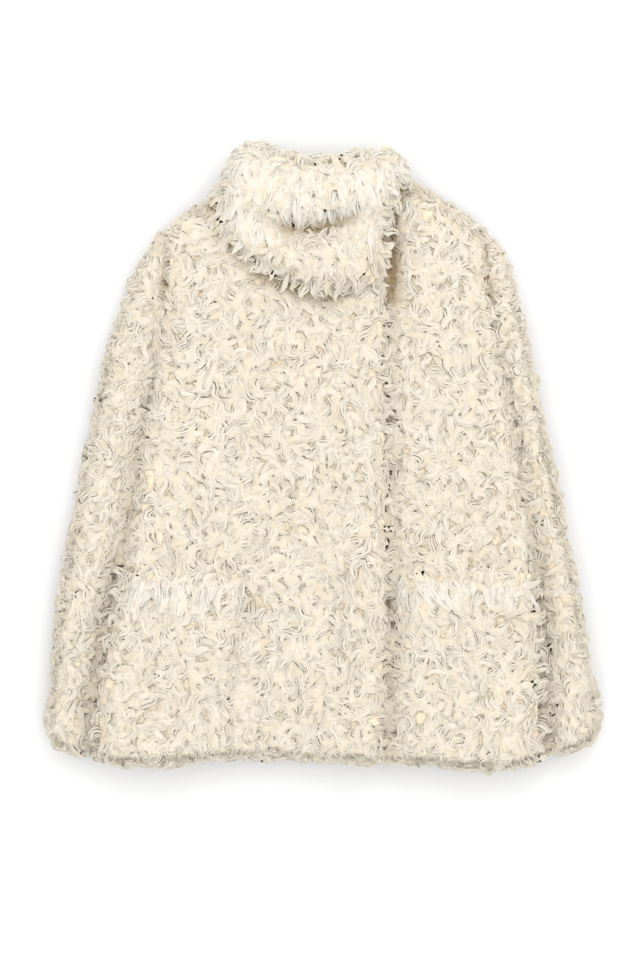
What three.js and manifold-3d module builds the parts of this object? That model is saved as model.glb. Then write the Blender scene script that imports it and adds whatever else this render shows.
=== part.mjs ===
// A cream faux fur coat laid flat on its back, its sleeves straight down and its collar folded over.
//
// Sizes are millimetres. X runs across the coat, Y from hem to collar, Z up from what it lies on.
// Every wall includes its pile, so the solids reach to the tips of the fur.
// Left and right in the names are the wearer's: the wearer's right side is at low X.

import * as THREE from "three";
import { mergeVertices } from "three/addons/utils/BufferGeometryUtils.js";
import Module from "manifold-3d";

const wasm = await Module();
wasm.setup();

// Walls and seams
const SEAM = 0.3; // clear gap where two pieces meet
const BACK_WALL = 15; // cloth and pile of the back, pressed by what lies on it
const FRONT_WALL = 21; // cloth and standing pile of a front
const PRESSED = 4; // what each of those two loses over a tucked sleeve
const LEAST_WALL = 4; // thinnest a rounded edge gets
const SIDE_ROLL = 28; // the body's sides round off over this width
const HEM_ROLL = 16;
const NECK_ROLL = 14;
const UNDER_ROLL = 6; // the same along the lower edge of the back
const UNDER_RISE = 2.5; // and how far that edge lifts
const HEM_THIN = 0.55; // share of a front's wall lost right at the hem
const NECK_THIN = 0.5; // the same at the neck
const BACK_THIN = 0.7; // the back loses this much of what the fronts lose
const BACK_LEAST = 0.4; // and keeps at least this share
const HEM_LIFT_REACH = 60; // a lifted stretch of hem comes down to the ground over this length
const HEM_SWAY_REACH = 90; // the hem's own line is straightened out over this height
const SLIT = 3.4; // height of the gap inside a flattened tube

// Heights along the coat
const HEM = -357;
const BAND_FOOT = -159; // lower edge of the pocket bands
const POCKET_TOP = -133;
const UNDERARM = 20;
const SHOULDER_TIP = 268;
const NECK_POINT = 332; // where the shoulder seams reach the collar

// Body edges, a row for each height. closure: the front edge, as a share of the width from the
// left column. tuck: how far a sleeve runs in under the body. crease: how much the walls thin there.
const BODY = [
  { y: -357, left: -266.5, right: 255.5, closure: 0.638, tuck: 26, crease: 0.8 },
  { y: -287, left: -268.5, right: 256, closure: 0.647, tuck: 26, crease: 0.8 },
  { y: -216, left: -256, right: 255.5, closure: 0.644, tuck: 26, crease: 0.82 },
  { y: -157, left: -243, right: 252, closure: 0.642, tuck: 26, crease: 0.82 },
  { y: -86, left: -229, right: 244, closure: 0.642, tuck: 26, crease: 0.74 },
  { y: -33, left: -220.5, right: 235.5, closure: 0.648, tuck: 25, crease: 0.7 },
  { y: 20, left: -213, right: 226, closure: 0.654, tuck: 24, crease: 0.62 },
  { y: 67, left: -204, right: 216.5, closure: 0.661, tuck: 21, crease: 0.55 },
  { y: 132, left: -191.5, right: 203, closure: 0.669, tuck: 16, crease: 0.45 },
  { y: 195, left: -185, right: 192, closure: 0.684, tuck: 12, crease: 0.36 },
  { y: 227, left: -183.5, right: 188, closure: 0.69, tuck: 9, crease: 0.3 },
  { y: 262, left: -182.5, right: 184, closure: 0.69, tuck: 8, crease: 0.34 },
  { y: 280, left: -172, right: 172, closure: 0.68, tuck: 8, crease: 0.6 },
  { y: 297, left: -143, right: 143.5, closure: 0.68, tuck: 8, crease: 0.62 },
  { y: 315, left: -122, right: 111, closure: 0.68, tuck: 8, crease: 0.62 },
  { y: 332, left: -111.5, right: 97.5, closure: 0.68, tuck: 8, crease: 0.62 },
];

// Hem edge from side to side. lift: how far that stretch of the hem stands off the ground.
const HEMLINE = [
  { x: -270, y: -354, lift: 3 },
  { x: -235, y: -359, lift: 9 },
  { x: -175, y: -358, lift: 9 },
  { x: -125, y: -353, lift: 2 },
  { x: -55, y: -353, lift: 0 },
  { x: 15, y: -355.5, lift: 5 },
  { x: 75, y: -358, lift: 3 },
  { x: 120, y: -359, lift: 0 },
  { x: 175, y: -366, lift: 6 },
  { x: 225, y: -363, lift: 7 },
  { x: 256, y: -354, lift: 2 },
];

// Soft troughs (depth over 0) and ridges (under 0) in the fronts, each along a line.
const FOLDS = [
  { x0: -200, y0: 22, x1: -186, y1: -28, width: 22, depth: 4 },
  { x0: -186, y0: -28, x1: -179, y1: -122, width: 24, depth: 5 },
  { x0: -160, y0: 150, x1: -150, y1: -60, width: 34, depth: -3 },
  { x0: -70, y0: 130, x1: -95, y1: -100, width: 46, depth: 2.5 },
  { x0: -20, y0: 60, x1: -10, y1: -110, width: 40, depth: -2.5 },
  { x0: -30, y0: -215, x1: -20, y1: -320, width: 46, depth: -3 },
  { x0: 38, y0: -170, x1: 34, y1: -330, width: 26, depth: 2.5 },
  { x0: 128, y0: 190, x1: 140, y1: 10, width: 36, depth: -2.5 },
  { x0: 196, y0: 10, x1: 205, y1: -120, width: 30, depth: 4 },
  { x0: 150, y0: -10, x1: 160, y1: -120, width: 40, depth: 1.5 },
];

// Sleeves, a row for each height, outer edges measured from the centre line.
const SLEEVES = [
  { y: -357, right: -315, left: 306, crest: 33 },
  { y: -340, right: -322, left: 318.5, crest: 36 },
  { y: -322, right: -326, left: 325, crest: 38 },
  { y: -304, right: -324.5, left: 324.5, crest: 39 },
  { y: -251, right: -318, left: 313.5, crest: 40 },
  { y: -180, right: -311.5, left: 300.5, crest: 41 },
  { y: -110, right: -301, left: 287.5, crest: 41 },
  { y: -39, right: -288.5, left: 274, crest: 41 },
  { y: 14, right: -276, left: 261.5, crest: 41 },
  { y: 67, right: -265.5, left: 250.5, crest: 41 },
  { y: 103, right: -258.5, left: 244.5, crest: 40 },
  { y: 138, right: -249.5, left: 237.5, crest: 39 },
  { y: 173, right: -237, left: 230, crest: 37 },
  { y: 209, right: -224.5, left: 221, crest: 35 },
  { y: 227, right: -216, left: 216, crest: 34 },
  { y: 244, right: -205, left: 209, crest: 32 },
  { y: 258, right: -194, left: 198, crest: 31 },
  { y: 268, right: -185.5, left: 187.5, crest: 29 },
];
const TUCK_HEIGHT = 12; // a sleeve's two layers, pressed under the body
const TUCK_RAMP = 32; // the body comes down to the ground over this width
const SLEEVE_SIDE_GAP = 0.6; // between a sleeve's upper wall and the body's edge
const CUFF_SLANT = 14; // the outer side of a cuff ends this much higher
const CUFF_SLANT_REACH = 60;
const CUFF_ROLL = 16;
const CUFF_SHARE = 0.62; // share of its height that a sleeve has right at the cuff
const CUFF_RISE = 2; // lift of the cuff's lower edge
const SLEEVE_FOOT = 6; // rounding where the outer side meets the ground
const SLEEVE_HEEL = 5; // height of that rounding
const SLEEVE_SIDE = 13; // height of the outer side
const SLEEVE_VALLEY = 2; // rise of a sleeve over its tucked part, beside a thick body edge
const SLEEVE_VALLEY_FILL = 20; // how much less deep the valley is beside a thin one
const TUCK_EDGE = 4; // rounding of the tucked edge
const SLIT_SPAN = { tucked: 9, outer: 13 }; // walls left at the two sides of a sleeve's slit
const SLIT_RISE = { tucked: 6, outer: 15 }; // height of the slit at its two sides

// Front edge: the wearer's right front laps over the left
const LAP = 50; // width of the lap
const LAP_STEP = 20; // the upper front comes down to the back over this width
const LAP_EDGE = 18; // rounding of the upper front's edge
const LAP_EDGE_THIN = 0.5; // share of its wall lost right at the edge

// Share of its full thickness that the left front has, by its distance in under the right front
const UNDERLAP = [
  { inward: -35, share: 1 },
  { inward: -14, share: 0.8 },
  { inward: 0, share: 0.43 },
  { inward: 32, share: 0.43 },
  { inward: 50, share: 0.3 },
];

// Pockets
const POCKET_WALL = 8;
const BAND_RISE = 4; // the folded band stands above the rest of the pocket
const POCKET_ROUND = 12; // rounding of a pocket's edges
const POCKET_EDGE_SHARE = 0.45; // share of its thickness that a pocket has right at its edge
const POCKET_FOOT = 4; // a pocket is sewn into the hem, so its foot is less rounded
const BAND_STEP = 14; // the band's fold comes down over this height

// Neck and collar
const NECK_CENTRE = { x: -9, y: NECK_POINT + 9 }; // the neck hole is a half ellipse in each layer
const FRONT_NECK = { halfWidth: 93, drop: 101 };
const BACK_NECK = { halfWidth: 82, drop: 34 };
const NECK_SIDES = 48;
const COLLAR_CREST = 63; // height of the top roll above the ground
const COLLAR_CREASE = 85; // how far below the top the crease runs
const CREASE_WIDTH = 17; // the crease's reach to each side
const CREASE_DEPTH = { left: 3, middle: 17, right: 9 };
const COLLAR_WALL = 7; // least thickness of the collar
const LIP_FALL = 9; // the lip lies this much lower toward the wearer's right
const LIP_STAND = 43; // height of the lip's underside off the ground
const LIP_EDGE = 16; // width of the free edge
const LIP_STEP = 8; // behind it the underside comes down over this width
const LIP_DROOP = 5; // and the free edge hangs this much
// Roundings of the collar's upper side along its four edges, and of its underside
const COLLAR_ROLLS = [
  { edge: "top", fall: 29, radius: 27 },
  { edge: "bottom", fall: 13, radius: 18 },
  { edge: "left", fall: 18, radius: 26 },
  { edge: "right", fall: 12, radius: 10 },
];
const COLLAR_CURLS = { top: 15, topRadius: 20, left: 8, leftRadius: 16 };
// Opening at the top edge. inner: its width at the bottom, as a share.
const MOUTH = { x: -7, y: 350, z: 24, halfWidth: 78, depth: 66, inner: 0.7 };
const CUTTER_REACH = 30; // a cut runs this far out past the part

// Edge curves of the folded collar seen from above, each from its lower or left end
const COLLAR_EDGES = {
  bottom: [
    [-120, 265],
    [-93, 239],
    [-72, 224],
    [-40, 208],
    [8, 197],
    [63, 196],
  ],
  right: [
    [63, 196],
    [68, 244],
    [73, 292],
    [83, 316],
    [94, 334],
    [91, 348],
  ],
  top: [
    [-106, 354],
    [-85, 366],
    [-56, 358],
    [-10, 348],
    [31, 353],
    [64, 360],
    [91, 348],
  ],
  left: [
    [-120, 265],
    [-121, 297],
    [-115, 326],
    [-106, 354],
  ],
};

// A table's row at a place along its first column, each other column carried smoothly between rows.
function rowAt(table, key, at) {
  const place = THREE.MathUtils.clamp(at, table[0][key], table[table.length - 1][key]);
  let k = 0;
  while (k < table.length - 2 && table[k + 1][key] < place) {
    k += 1;
  }
  const a = table[k];
  const b = table[k + 1];
  const before = table[Math.max(k - 1, 0)];
  const after = table[Math.min(k + 2, table.length - 1)];
  const span = b[key] - a[key];
  const t = (place - a[key]) / span;
  const row = { [key]: at };
  for (const name of Object.keys(a)) {
    if (name === key) {
      continue;
    }
    const slopeA = (b[name] - before[name]) / (b[key] - before[key]);
    const slopeB = (after[name] - a[name]) / (after[key] - a[key]);
    row[name] =
      a[name] * (1 + 2 * t) * (1 - t) ** 2 +
      b[name] * t ** 2 * (3 - 2 * t) +
      span * (slopeA * t * (1 - t) ** 2 - slopeB * t ** 2 * (1 - t));
  }
  return row;
}

// Height of a quarter round, from 0 at an edge to 1 at its radius.
function round(distance, radius) {
  const inside = THREE.MathUtils.clamp(distance / radius, 0, 1);
  return Math.sqrt(1 - (1 - inside) ** 2);
}

// 0 before from, 1 after to, and a straight line between.
function ramp(value, from, to) {
  return THREE.MathUtils.clamp((value - from) / (to - from), 0, 1);
}

// Values spaced evenly after from, up to and with to.
function steps(from, to, count) {
  return Array.from({ length: count }, (_, k) => from + ((to - from) * (k + 1)) / count);
}

// How much the folds take off a front at a place.
function foldDepth(x, y) {
  let depth = 0;
  for (const fold of FOLDS) {
    const along = new THREE.Vector2(fold.x1 - fold.x0, fold.y1 - fold.y0);
    const from = new THREE.Vector2(x - fold.x0, y - fold.y0);
    const t = THREE.MathUtils.clamp(from.dot(along) / along.lengthSq(), 0, 1);
    const away = from.addScaledVector(along, -t).length() / fold.width;
    if (away < 1) {
      depth += (fold.depth * (1 + Math.cos(Math.PI * away))) / 2;
    }
  }
  return depth;
}

// The body's lattice: the heights of its rows, shared by both fronts, the back and the sleeves.
const HEM_ROUND = [0, 4, 12, 28];
const ROWS = [
  ...HEM_ROUND.map((d) => HEM + d),
  ...steps(HEM + HEM_ROUND[3], BAND_FOOT, 6),
  POCKET_TOP,
  ...steps(POCKET_TOP, UNDERARM, 5),
  ...steps(UNDERARM, SHOULDER_TIP, 9),
  ...steps(SHOULDER_TIP, NECK_POINT, 5),
];
const POCKET_ROWS = ROWS.indexOf(POCKET_TOP);

// Its columns at one height, from the left side to the right, with the places that pieces start at.
const SIDE_SHARES = [0, 0.15, 0.5, 1];
const FULL_WIDTH = 360; // narrower rows have their side columns drawn together
const POCKET_SHARE = 0.46; // the right pocket's inner edge, between the side and the lap
function columnsAt(y) {
  const row = rowAt(BODY, "y", y);
  const width = row.right - row.left;
  const scale = Math.min(1, width / FULL_WIDTH);
  const tuck = (row.tuck + SLEEVE_SIDE_GAP + 2) * scale;
  const side = SIDE_SHARES.map((share) => share * tuck);
  side.push(tuck + TUCK_RAMP * scale);
  const closure = row.left + row.closure * width;
  const lapStart = closure - (LAP + LAP_STEP) * scale;
  const leftInner = row.left + side[4];
  const rightInner = row.right - side[4];
  const pocket = leftInner + POCKET_SHARE * (lapStart - leftInner);
  const lap = [LAP, 32, LAP_EDGE, 6, 0, -14, -35].map((d) => closure - d * scale);
  const xs = [
    ...side.map((d) => row.left + d),
    ...steps(leftInner, pocket, 3),
    ...steps(pocket, lapStart, 4),
    ...lap,
    ...steps(lap[6], rightInner, 3),
    ...side.slice(0, 4).reverse().map((d) => row.right - d),
  ];
  return { xs, row, scale, tuck, closure };
}
const POCKET_EDGE = 7;
const LEFT_FRONT_EDGE = 12;
const RIGHT_FRONT_EDGE = 16;
const LAST_COLUMN = 25;

// The left front's share of its full thickness at a distance in under the right front.
function underlap(inward) {
  const first = UNDERLAP[0];
  return UNDERLAP.slice(1).reduce((share, row, k) => {
    const before = UNDERLAP[k];
    return share + (row.share - before.share) * ramp(inward, before.inward, row.inward);
  }, first.share);
}

// The heights of every layer at one point of the lattice.
function layersAt(x, y, d, columns) {
  const { row, scale, tuck, closure } = columns;
  const sideDistance = Math.min(x - row.left, row.right - x);
  const hem = rowAt(HEMLINE, "x", x);
  const over = y <= SHOULDER_TIP ? 1 : 0;
  const tucked = over * (1 - ramp(sideDistance, tuck, tuck + TUCK_RAMP * scale));
  const lift = hem.lift * (1 - ramp(d, 0, HEM_LIFT_REACH)) * (1 - tucked);
  const bottom = tucked * (TUCK_HEIGHT + 2 * SEAM) + lift;
  const sideThin = 1 - (1 - round(sideDistance, SIDE_ROLL)) * row.crease;
  const hemThin = 1 - HEM_THIN * (1 - round(d, HEM_ROLL));
  const neckThin = 1 - NECK_THIN * (1 - round(NECK_POINT - y, NECK_ROLL));
  const thin = sideThin * hemThin * neckThin;
  const backThin = Math.max(BACK_LEAST, 1 - BACK_THIN * (1 - thin));
  const low = bottom + UNDER_RISE * (1 - round(Math.min(sideDistance, d), UNDER_ROLL));
  const middle = bottom + (BACK_WALL - PRESSED * tucked) * backThin;
  const full = Math.max(LEAST_WALL, (FRONT_WALL - PRESSED * tucked - foldDepth(x, y)) * thin);
  const inward = (closure - x) / scale;
  const leftTop = middle + SEAM + Math.max(LEAST_WALL, full * underlap(inward));
  const underWall = Math.max(LEAST_WALL, full * underlap(Math.min(inward, LAP)));
  const lapped = 1 - ramp(inward, LAP, LAP + LAP_STEP);
  const rightLow = middle + SEAM + lapped * (underWall + SEAM);
  const edgeThin = 1 - LAP_EDGE_THIN * (1 - round(inward, LAP_EDGE));
  const rightTop = rightLow + Math.max(LEAST_WALL, full * edgeThin);
  return { low, middle, leftTop, rightLow, rightTop };
}

// All points of the lattice, row by row.
const LATTICE = ROWS.map((y) => {
  const columns = columnsAt(y);
  return columns.xs.map((x) => {
    const hem = rowAt(HEMLINE, "x", x);
    const shift = (hem.y - HEM) * (1 - ramp(y, HEM, HEM + HEM_SWAY_REACH));
    return { x, y: y + shift, ...layersAt(x, y, y - HEM, columns) };
  });
});

// A solid from a closed geometry.
function solidOf(geometry) {
  const bare = geometry.clone();
  bare.deleteAttribute("normal");
  bare.deleteAttribute("uv");
  const merged = mergeVertices(bare, 1e-4);
  const mesh = new wasm.Mesh({
    numProp: 3,
    vertProperties: merged.attributes.position.array,
    triVerts: new Uint32Array(merged.index.array),
  });
  return new wasm.Manifold(mesh);
}

// A solid's geometry. Corners that a cut left closer together than SLIVER become one.
const SLIVER = 0.06;
function geometryOf(solid) {
  const mesh = solid.getMesh();
  const kept = [];
  const welded = [];
  for (let k = 0; k < mesh.vertProperties.length; k += 3) {
    const corner = new THREE.Vector3().fromArray(mesh.vertProperties, k);
    let at = kept.findIndex((other) => other.distanceTo(corner) < SLIVER);
    if (at < 0) {
      at = kept.push(corner) - 1;
    }
    welded.push(at);
  }
  const faces = [];
  for (let k = 0; k < mesh.triVerts.length; k += 3) {
    const face = [...mesh.triVerts.slice(k, k + 3)].map((v) => welded[v]);
    if (new Set(face).size === 3) {
      faces.push(face);
    }
  }
  return meshGeometry(kept.map((corner) => corner.toArray()), faces);
}

function meshGeometry(vertices, faces) {
  const geometry = new THREE.BufferGeometry();
  geometry.setAttribute("position", new THREE.Float32BufferAttribute(vertices.flat(), 3));
  geometry.setIndex(faces.flat());
  return geometry;
}

// A closed wall between the low and high sheets of a grid of points, with an upright rim.
// grow moves both sheets and the rim out, for cutting a neighbour to fit.
function wall(grid, lowOf, highOf, grow = 0) {
  const rows = grid.length;
  const columns = grid[0].length;
  const low = (j, i) => j * columns + i;
  const high = (j, i) => rows * columns + low(j, i);
  const outward = (k, count) => (k === 0 ? -grow : 0) + (k === count - 1 ? grow : 0);
  const sheet = (heightOf, side) =>
    grid.flatMap((line, j) =>
      line.map((p, i) => [
        p.x + outward(i, columns),
        p.y + outward(j, rows),
        heightOf(p) + side * grow,
      ]),
    );
  const faces = [];
  for (let j = 0; j < rows - 1; j += 1) {
    for (let i = 0; i < columns - 1; i += 1) {
      faces.push([high(j, i), high(j, i + 1), high(j + 1, i + 1)]);
      faces.push([high(j, i), high(j + 1, i + 1), high(j + 1, i)]);
      faces.push([low(j, i), low(j + 1, i + 1), low(j, i + 1)]);
      faces.push([low(j, i), low(j + 1, i), low(j + 1, i + 1)]);
    }
  }
  const rim = [];
  for (let i = 0; i < columns - 1; i += 1) {
    rim.push([0, i]);
  }
  for (let j = 0; j < rows - 1; j += 1) {
    rim.push([j, columns - 1]);
  }
  for (let i = columns - 1; i > 0; i -= 1) {
    rim.push([rows - 1, i]);
  }
  for (let j = rows - 1; j > 0; j -= 1) {
    rim.push([j, 0]);
  }
  rim.forEach((from, k) => {
    const to = rim[(k + 1) % rim.length];
    faces.push([low(...from), low(...to), high(...to)]);
    faces.push([low(...from), high(...to), high(...from)]);
  });
  return meshGeometry([...sheet(lowOf, -1), ...sheet(highOf, 1)], faces);
}

// A solid through rings of equal count, each a list of [x, y, z] that runs round clockwise as seen
// from the first ring's side, with both ends closed.
function loft(rings) {
  const count = rings[0].length;
  const faces = [];
  for (let r = 0; r < rings.length - 1; r += 1) {
    for (let k = 0; k < count; k += 1) {
      const next = (k + 1) % count;
      const a = r * count + k;
      const b = r * count + next;
      faces.push([a, b, b + count], [a, b + count, a + count]);
    }
  }
  const last = (rings.length - 1) * count;
  for (const [ring, base, flip] of [
    [rings[0], 0, true],
    [rings[rings.length - 1], last, false],
  ]) {
    const contour = ring.map(([x, , z]) => new THREE.Vector2(x, z));
    const sense = Math.sign(THREE.ShapeUtils.area(contour));
    for (const [a, b, c] of THREE.ShapeUtils.triangulateShape(contour, [])) {
      const forward = new THREE.Vector2().subVectors(contour[b], contour[a]);
      const turn = forward.cross(new THREE.Vector2().subVectors(contour[c], contour[a]));
      const triangle = turn * sense > 0 === flip ? [a, c, b] : [a, b, c];
      faces.push(triangle.map((k) => base + k));
    }
  }
  return meshGeometry(rings.flat(), faces);
}

// An upright elliptical plug that cuts the neck hole.
function neckPlug(neck, shrink = 0) {
  const height = 2 * (COLLAR_CREST + CUTTER_REACH);
  const plug = new THREE.CylinderGeometry(1, 1, height, NECK_SIDES);
  plug.rotateX(Math.PI / 2);
  plug.scale(neck.halfWidth - shrink, neck.drop - shrink, 1);
  plug.translate(NECK_CENTRE.x, NECK_CENTRE.y, 0);
  return solidOf(plug);
}

// The body panels. grow makes each a little larger all round, to fit the collar over it.
function backPanel(grow = 0) {
  const geometry = wall(LATTICE, (p) => p.low, (p) => p.middle, grow);
  return solidOf(geometry).subtract(neckPlug(BACK_NECK, grow));
}

function rightFront(grow = 0) {
  const grid = LATTICE.map((line) => line.slice(0, RIGHT_FRONT_EDGE + 1));
  const geometry = wall(grid, (p) => p.rightLow, (p) => p.rightTop, grow);
  return solidOf(geometry).subtract(neckPlug(FRONT_NECK, grow));
}

function leftFront(grow = 0) {
  const grid = LATTICE.map((line) => line.slice(LEFT_FRONT_EDGE));
  const geometry = wall(grid, (p) => p.middle + SEAM, (p) => p.leftTop, grow);
  return solidOf(geometry).subtract(neckPlug(FRONT_NECK, grow));
}

// A patch pocket laid on a front: its underside is the front's own points moved out by the seam.
function pocket(firstColumn, lastColumn, topOf) {
  const lines = LATTICE.slice(1, POCKET_ROWS + 1);
  const grid = lines.map((line) => line.slice(firstColumn, lastColumn + 1));
  const bandDepth = POCKET_TOP - BAND_FOOT;
  const left = grid.map((line) => line[0].x);
  const right = grid.map((line) => line[line.length - 1].x);
  grid.forEach((line, j) => {
    const fromTop = grid[grid.length - 1][0].y - line[0].y;
    const fromHem = line[0].y - grid[0][0].y;
    line.forEach((p, i) => {
      const fromSide = Math.min(p.x - left[j], right[j] - p.x);
      const nearest = Math.min(fromSide, fromTop, fromHem + POCKET_FOOT);
      const band = BAND_RISE * (1 - ramp(fromTop, bandDepth, bandDepth + BAND_STEP));
      const edge = THREE.MathUtils.lerp(POCKET_EDGE_SHARE, 1, round(nearest, POCKET_ROUND));
      const rise = (POCKET_WALL + band) * edge;
      line[i] = { ...p, low: topOf(p) + SEAM, high: topOf(p) + SEAM + rise };
    });
  });
  return wall(grid, (p) => p.low, (p) => p.high);
}

// One sleeve, a flattened tube open at the cuff, its inner side tucked under the body.
// side is -1 for the wearer's right sleeve and 1 for the left.
const DOME = [1, 0.97, 0.9, 0.78, 0.62, 0.45, 0.3, 0.16, 0.06, 0];
const CREST_AT = 0.55; // share of the visible width where the sleeve is highest
function sleeveRing(y, side, end) {
  const body = rowAt(BODY, "y", y);
  const sleeve = rowAt(SLEEVES, "y", y);
  const edge = side < 0 ? body.left : body.right;
  const outer = side < 0 ? sleeve.right : sleeve.left;
  const width = Math.abs(outer - edge);
  const tuck = body.tuck;
  const valley = TUCK_HEIGHT + SLEEVE_VALLEY + (1 - body.crease) * SLEEVE_VALLEY_FILL;
  const crest = sleeve.crest;
  const foot = Math.min(SLEEVE_FOOT, width / 3);
  const points = [
    [-tuck + TUCK_EDGE, 0],
    [width * 0.3, 0],
    [width * 0.65, 0],
    [width - foot, 0],
    [width - foot / 4, SLEEVE_HEEL],
  ];
  for (const t of DOME) {
    const fall = (t - CREST_AT) / (1 - CREST_AT);
    const climb = Math.sin(((Math.PI / 2) * t) / CREST_AT);
    const arch = Math.sqrt(Math.max(0, 1 - fall ** 2));
    const outside = THREE.MathUtils.lerp(SLEEVE_SIDE, crest, arch);
    const inside = valley + (crest - valley) * climb;
    points.push([Math.max(t * width, SLEEVE_SIDE_GAP), t > CREST_AT ? outside : inside]);
  }
  points.push([SLEEVE_SIDE_GAP, TUCK_HEIGHT], [-tuck + TUCK_EDGE, TUCK_HEIGHT]);
  points.push([-tuck, TUCK_HEIGHT - TUCK_EDGE], [-tuck, TUCK_EDGE]);
  const rounded = round(end, CUFF_ROLL);
  const ring = points.map(([a, z]) => {
    const share = THREE.MathUtils.clamp(a / width, 0, 1);
    const slant = CUFF_SLANT * share ** 2 * (1 - ramp(end, 0, CUFF_SLANT_REACH));
    const height = CUFF_RISE * (1 - rounded) + z * THREE.MathUtils.lerp(CUFF_SHARE, 1, rounded);
    return [edge + side * a, y + slant, height];
  });
  return side < 0 ? ring : ring.reverse();
}

// The gap between a sleeve's two layers at one height.
const SLIT_SIDES = 14;
function sleeveSlit(y, side) {
  const body = rowAt(BODY, "y", y);
  const sleeve = rowAt(SLEEVES, "y", y);
  const edge = side < 0 ? body.left : body.right;
  const outer = side < 0 ? sleeve.right : sleeve.left;
  const from = -body.tuck + SLIT_SPAN.tucked;
  const to = Math.abs(outer - edge) - SLIT_SPAN.outer;
  const ring = Array.from({ length: SLIT_SIDES }, (_, k) => {
    const angle = (2 * Math.PI * k) / SLIT_SIDES;
    const share = (1 + Math.cos(angle)) / 2;
    const middle = THREE.MathUtils.lerp(SLIT_RISE.tucked, SLIT_RISE.outer, share);
    const z = middle + (SLIT / 2) * Math.sin(angle);
    return [edge + side * THREE.MathUtils.lerp(from, to, share), y, z];
  });
  return side < 0 ? ring : ring.reverse();
}

const CUFF = -351;
const SLIT_TOP = 150; // the tube is closed flat above this height
function sleeve(side) {
  const heights = HEM_ROUND.map((d) => CUFF + d);
  const above = ROWS.filter((y) => y > heights[3] + CUFF_ROLL / 2 && y < SHOULDER_TIP);
  const all = [...heights, ...above, SHOULDER_TIP - 1];
  const outside = solidOf(loft(all.map((y) => sleeveRing(y, side, y - CUFF))));
  const slitRows = [CUFF - CUTTER_REACH, ...all.slice(1).filter((y) => y < SLIT_TOP)];
  return outside.subtract(solidOf(loft(slitRows.map((y) => sleeveSlit(y, side)))));
}

// A point of the collar's plan, blended from its four edge curves.
const edgeCurves = Object.fromEntries(
  Object.entries(COLLAR_EDGES).map(([name, points]) => [
    name,
    new THREE.CatmullRomCurve3(points.map(([x, y]) => new THREE.Vector3(x, y, 0))),
  ]),
);
function collarPlan(u, v) {
  const bottom = edgeCurves.bottom.getPointAt(u);
  const top = edgeCurves.top.getPointAt(u);
  const left = edgeCurves.left.getPointAt(v);
  const right = edgeCurves.right.getPointAt(v);
  const corners = [
    [edgeCurves.bottom.getPointAt(0), (1 - u) * (1 - v)],
    [edgeCurves.bottom.getPointAt(1), u * (1 - v)],
    [edgeCurves.top.getPointAt(0), (1 - u) * v],
    [edgeCurves.top.getPointAt(1), u * v],
  ];
  const point = new THREE.Vector3();
  point.addScaledVector(bottom, 1 - v).addScaledVector(top, v);
  point.addScaledVector(left, 1 - u).addScaledVector(right, u);
  for (const [corner, share] of corners) {
    point.addScaledVector(corner, -share);
  }
  return point;
}

// The folded collar: a high roll along the top, a crease, and a lower lip that stands off the front.
const COLLAR_U = [0, 0.03, 0.08, 0.15, ...steps(0.15, 0.9, 10), 0.95, 0.98, 1];
const COLLAR_V = [0, 0.03, 0.08, 0.15, ...steps(0.15, 0.84, 8), 0.9, 0.95, 0.98, 1];
function collarPoint(u, v) {
  const at = collarPlan(u, v);
  const away = {
    top: at.distanceTo(collarPlan(u, 1)),
    bottom: at.distanceTo(collarPlan(u, 0)),
    left: at.distanceTo(collarPlan(0, v)),
    right: at.distanceTo(collarPlan(1, v)),
  };
  const toMiddle = THREE.MathUtils.lerp(CREASE_DEPTH.left, CREASE_DEPTH.middle, ramp(u, 0.15, 0.5));
  const creaseDepth = toMiddle + (CREASE_DEPTH.right - CREASE_DEPTH.middle) * ramp(u, 0.8, 1);
  const offCrease = Math.min(1, Math.abs(away.top - COLLAR_CREASE) / CREASE_WIDTH);
  const crease = (creaseDepth * (1 + Math.cos(Math.PI * offCrease))) / 2;
  const lipFall = LIP_FALL * (1 - ramp(u, 0.1, 0.6)) * ramp(away.top, 50, 100);
  const rolled = COLLAR_ROLLS.reduce(
    (sum, roll) => sum + roll.fall * (1 - round(away[roll.edge], roll.radius)),
    0,
  );
  const high = COLLAR_CREST - rolled - crease - lipFall;
  const curl = COLLAR_CURLS.top * (1 - round(away.top, COLLAR_CURLS.topRadius));
  const sideCurl = COLLAR_CURLS.left * (1 - round(away.left, COLLAR_CURLS.leftRadius));
  const stand = LIP_STAND * (1 - ramp(away.bottom, LIP_EDGE, LIP_EDGE + LIP_STEP));
  const lip = stand - LIP_DROOP * ramp(away.bottom, 0, LIP_EDGE);
  const low = Math.max(curl, sideCurl, Math.min(lip, high - COLLAR_WALL));
  return { x: at.x, y: at.y, low, high: Math.max(high, low + COLLAR_WALL) };
}

// The neck opening between the collar's two rolls, a flat mouth open at the top edge.
const MOUTH_SIDES = 20;
function mouthRing(y, share) {
  return Array.from({ length: MOUTH_SIDES }, (_, k) => {
    const angle = (2 * Math.PI * k) / MOUTH_SIDES;
    return [
      MOUTH.x - MOUTH.halfWidth * share * Math.cos(angle),
      y,
      MOUTH.z + (SLIT / 2) * Math.sin(angle),
    ];
  });
}

function collar() {
  const grid = COLLAR_V.map((v) => COLLAR_U.map((u) => collarPoint(u, v)));
  const raw = solidOf(wall(grid, (p) => p.low, (p) => p.high));
  const mouth = solidOf(
    loft([
      mouthRing(MOUTH.y - MOUTH.depth, MOUTH.inner),
      mouthRing(MOUTH.y, 1),
      mouthRing(MOUTH.y + CUTTER_REACH, 1),
    ]),
  );
  const fitted = raw
    .subtract(backPanel(SEAM))
    .subtract(rightFront(SEAM))
    .subtract(leftFront(SEAM))
    .subtract(mouth);
  const bodies = fitted.decompose();
  return bodies.reduce((best, body) => (body.volume() > best.volume() ? body : best));
}

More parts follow.
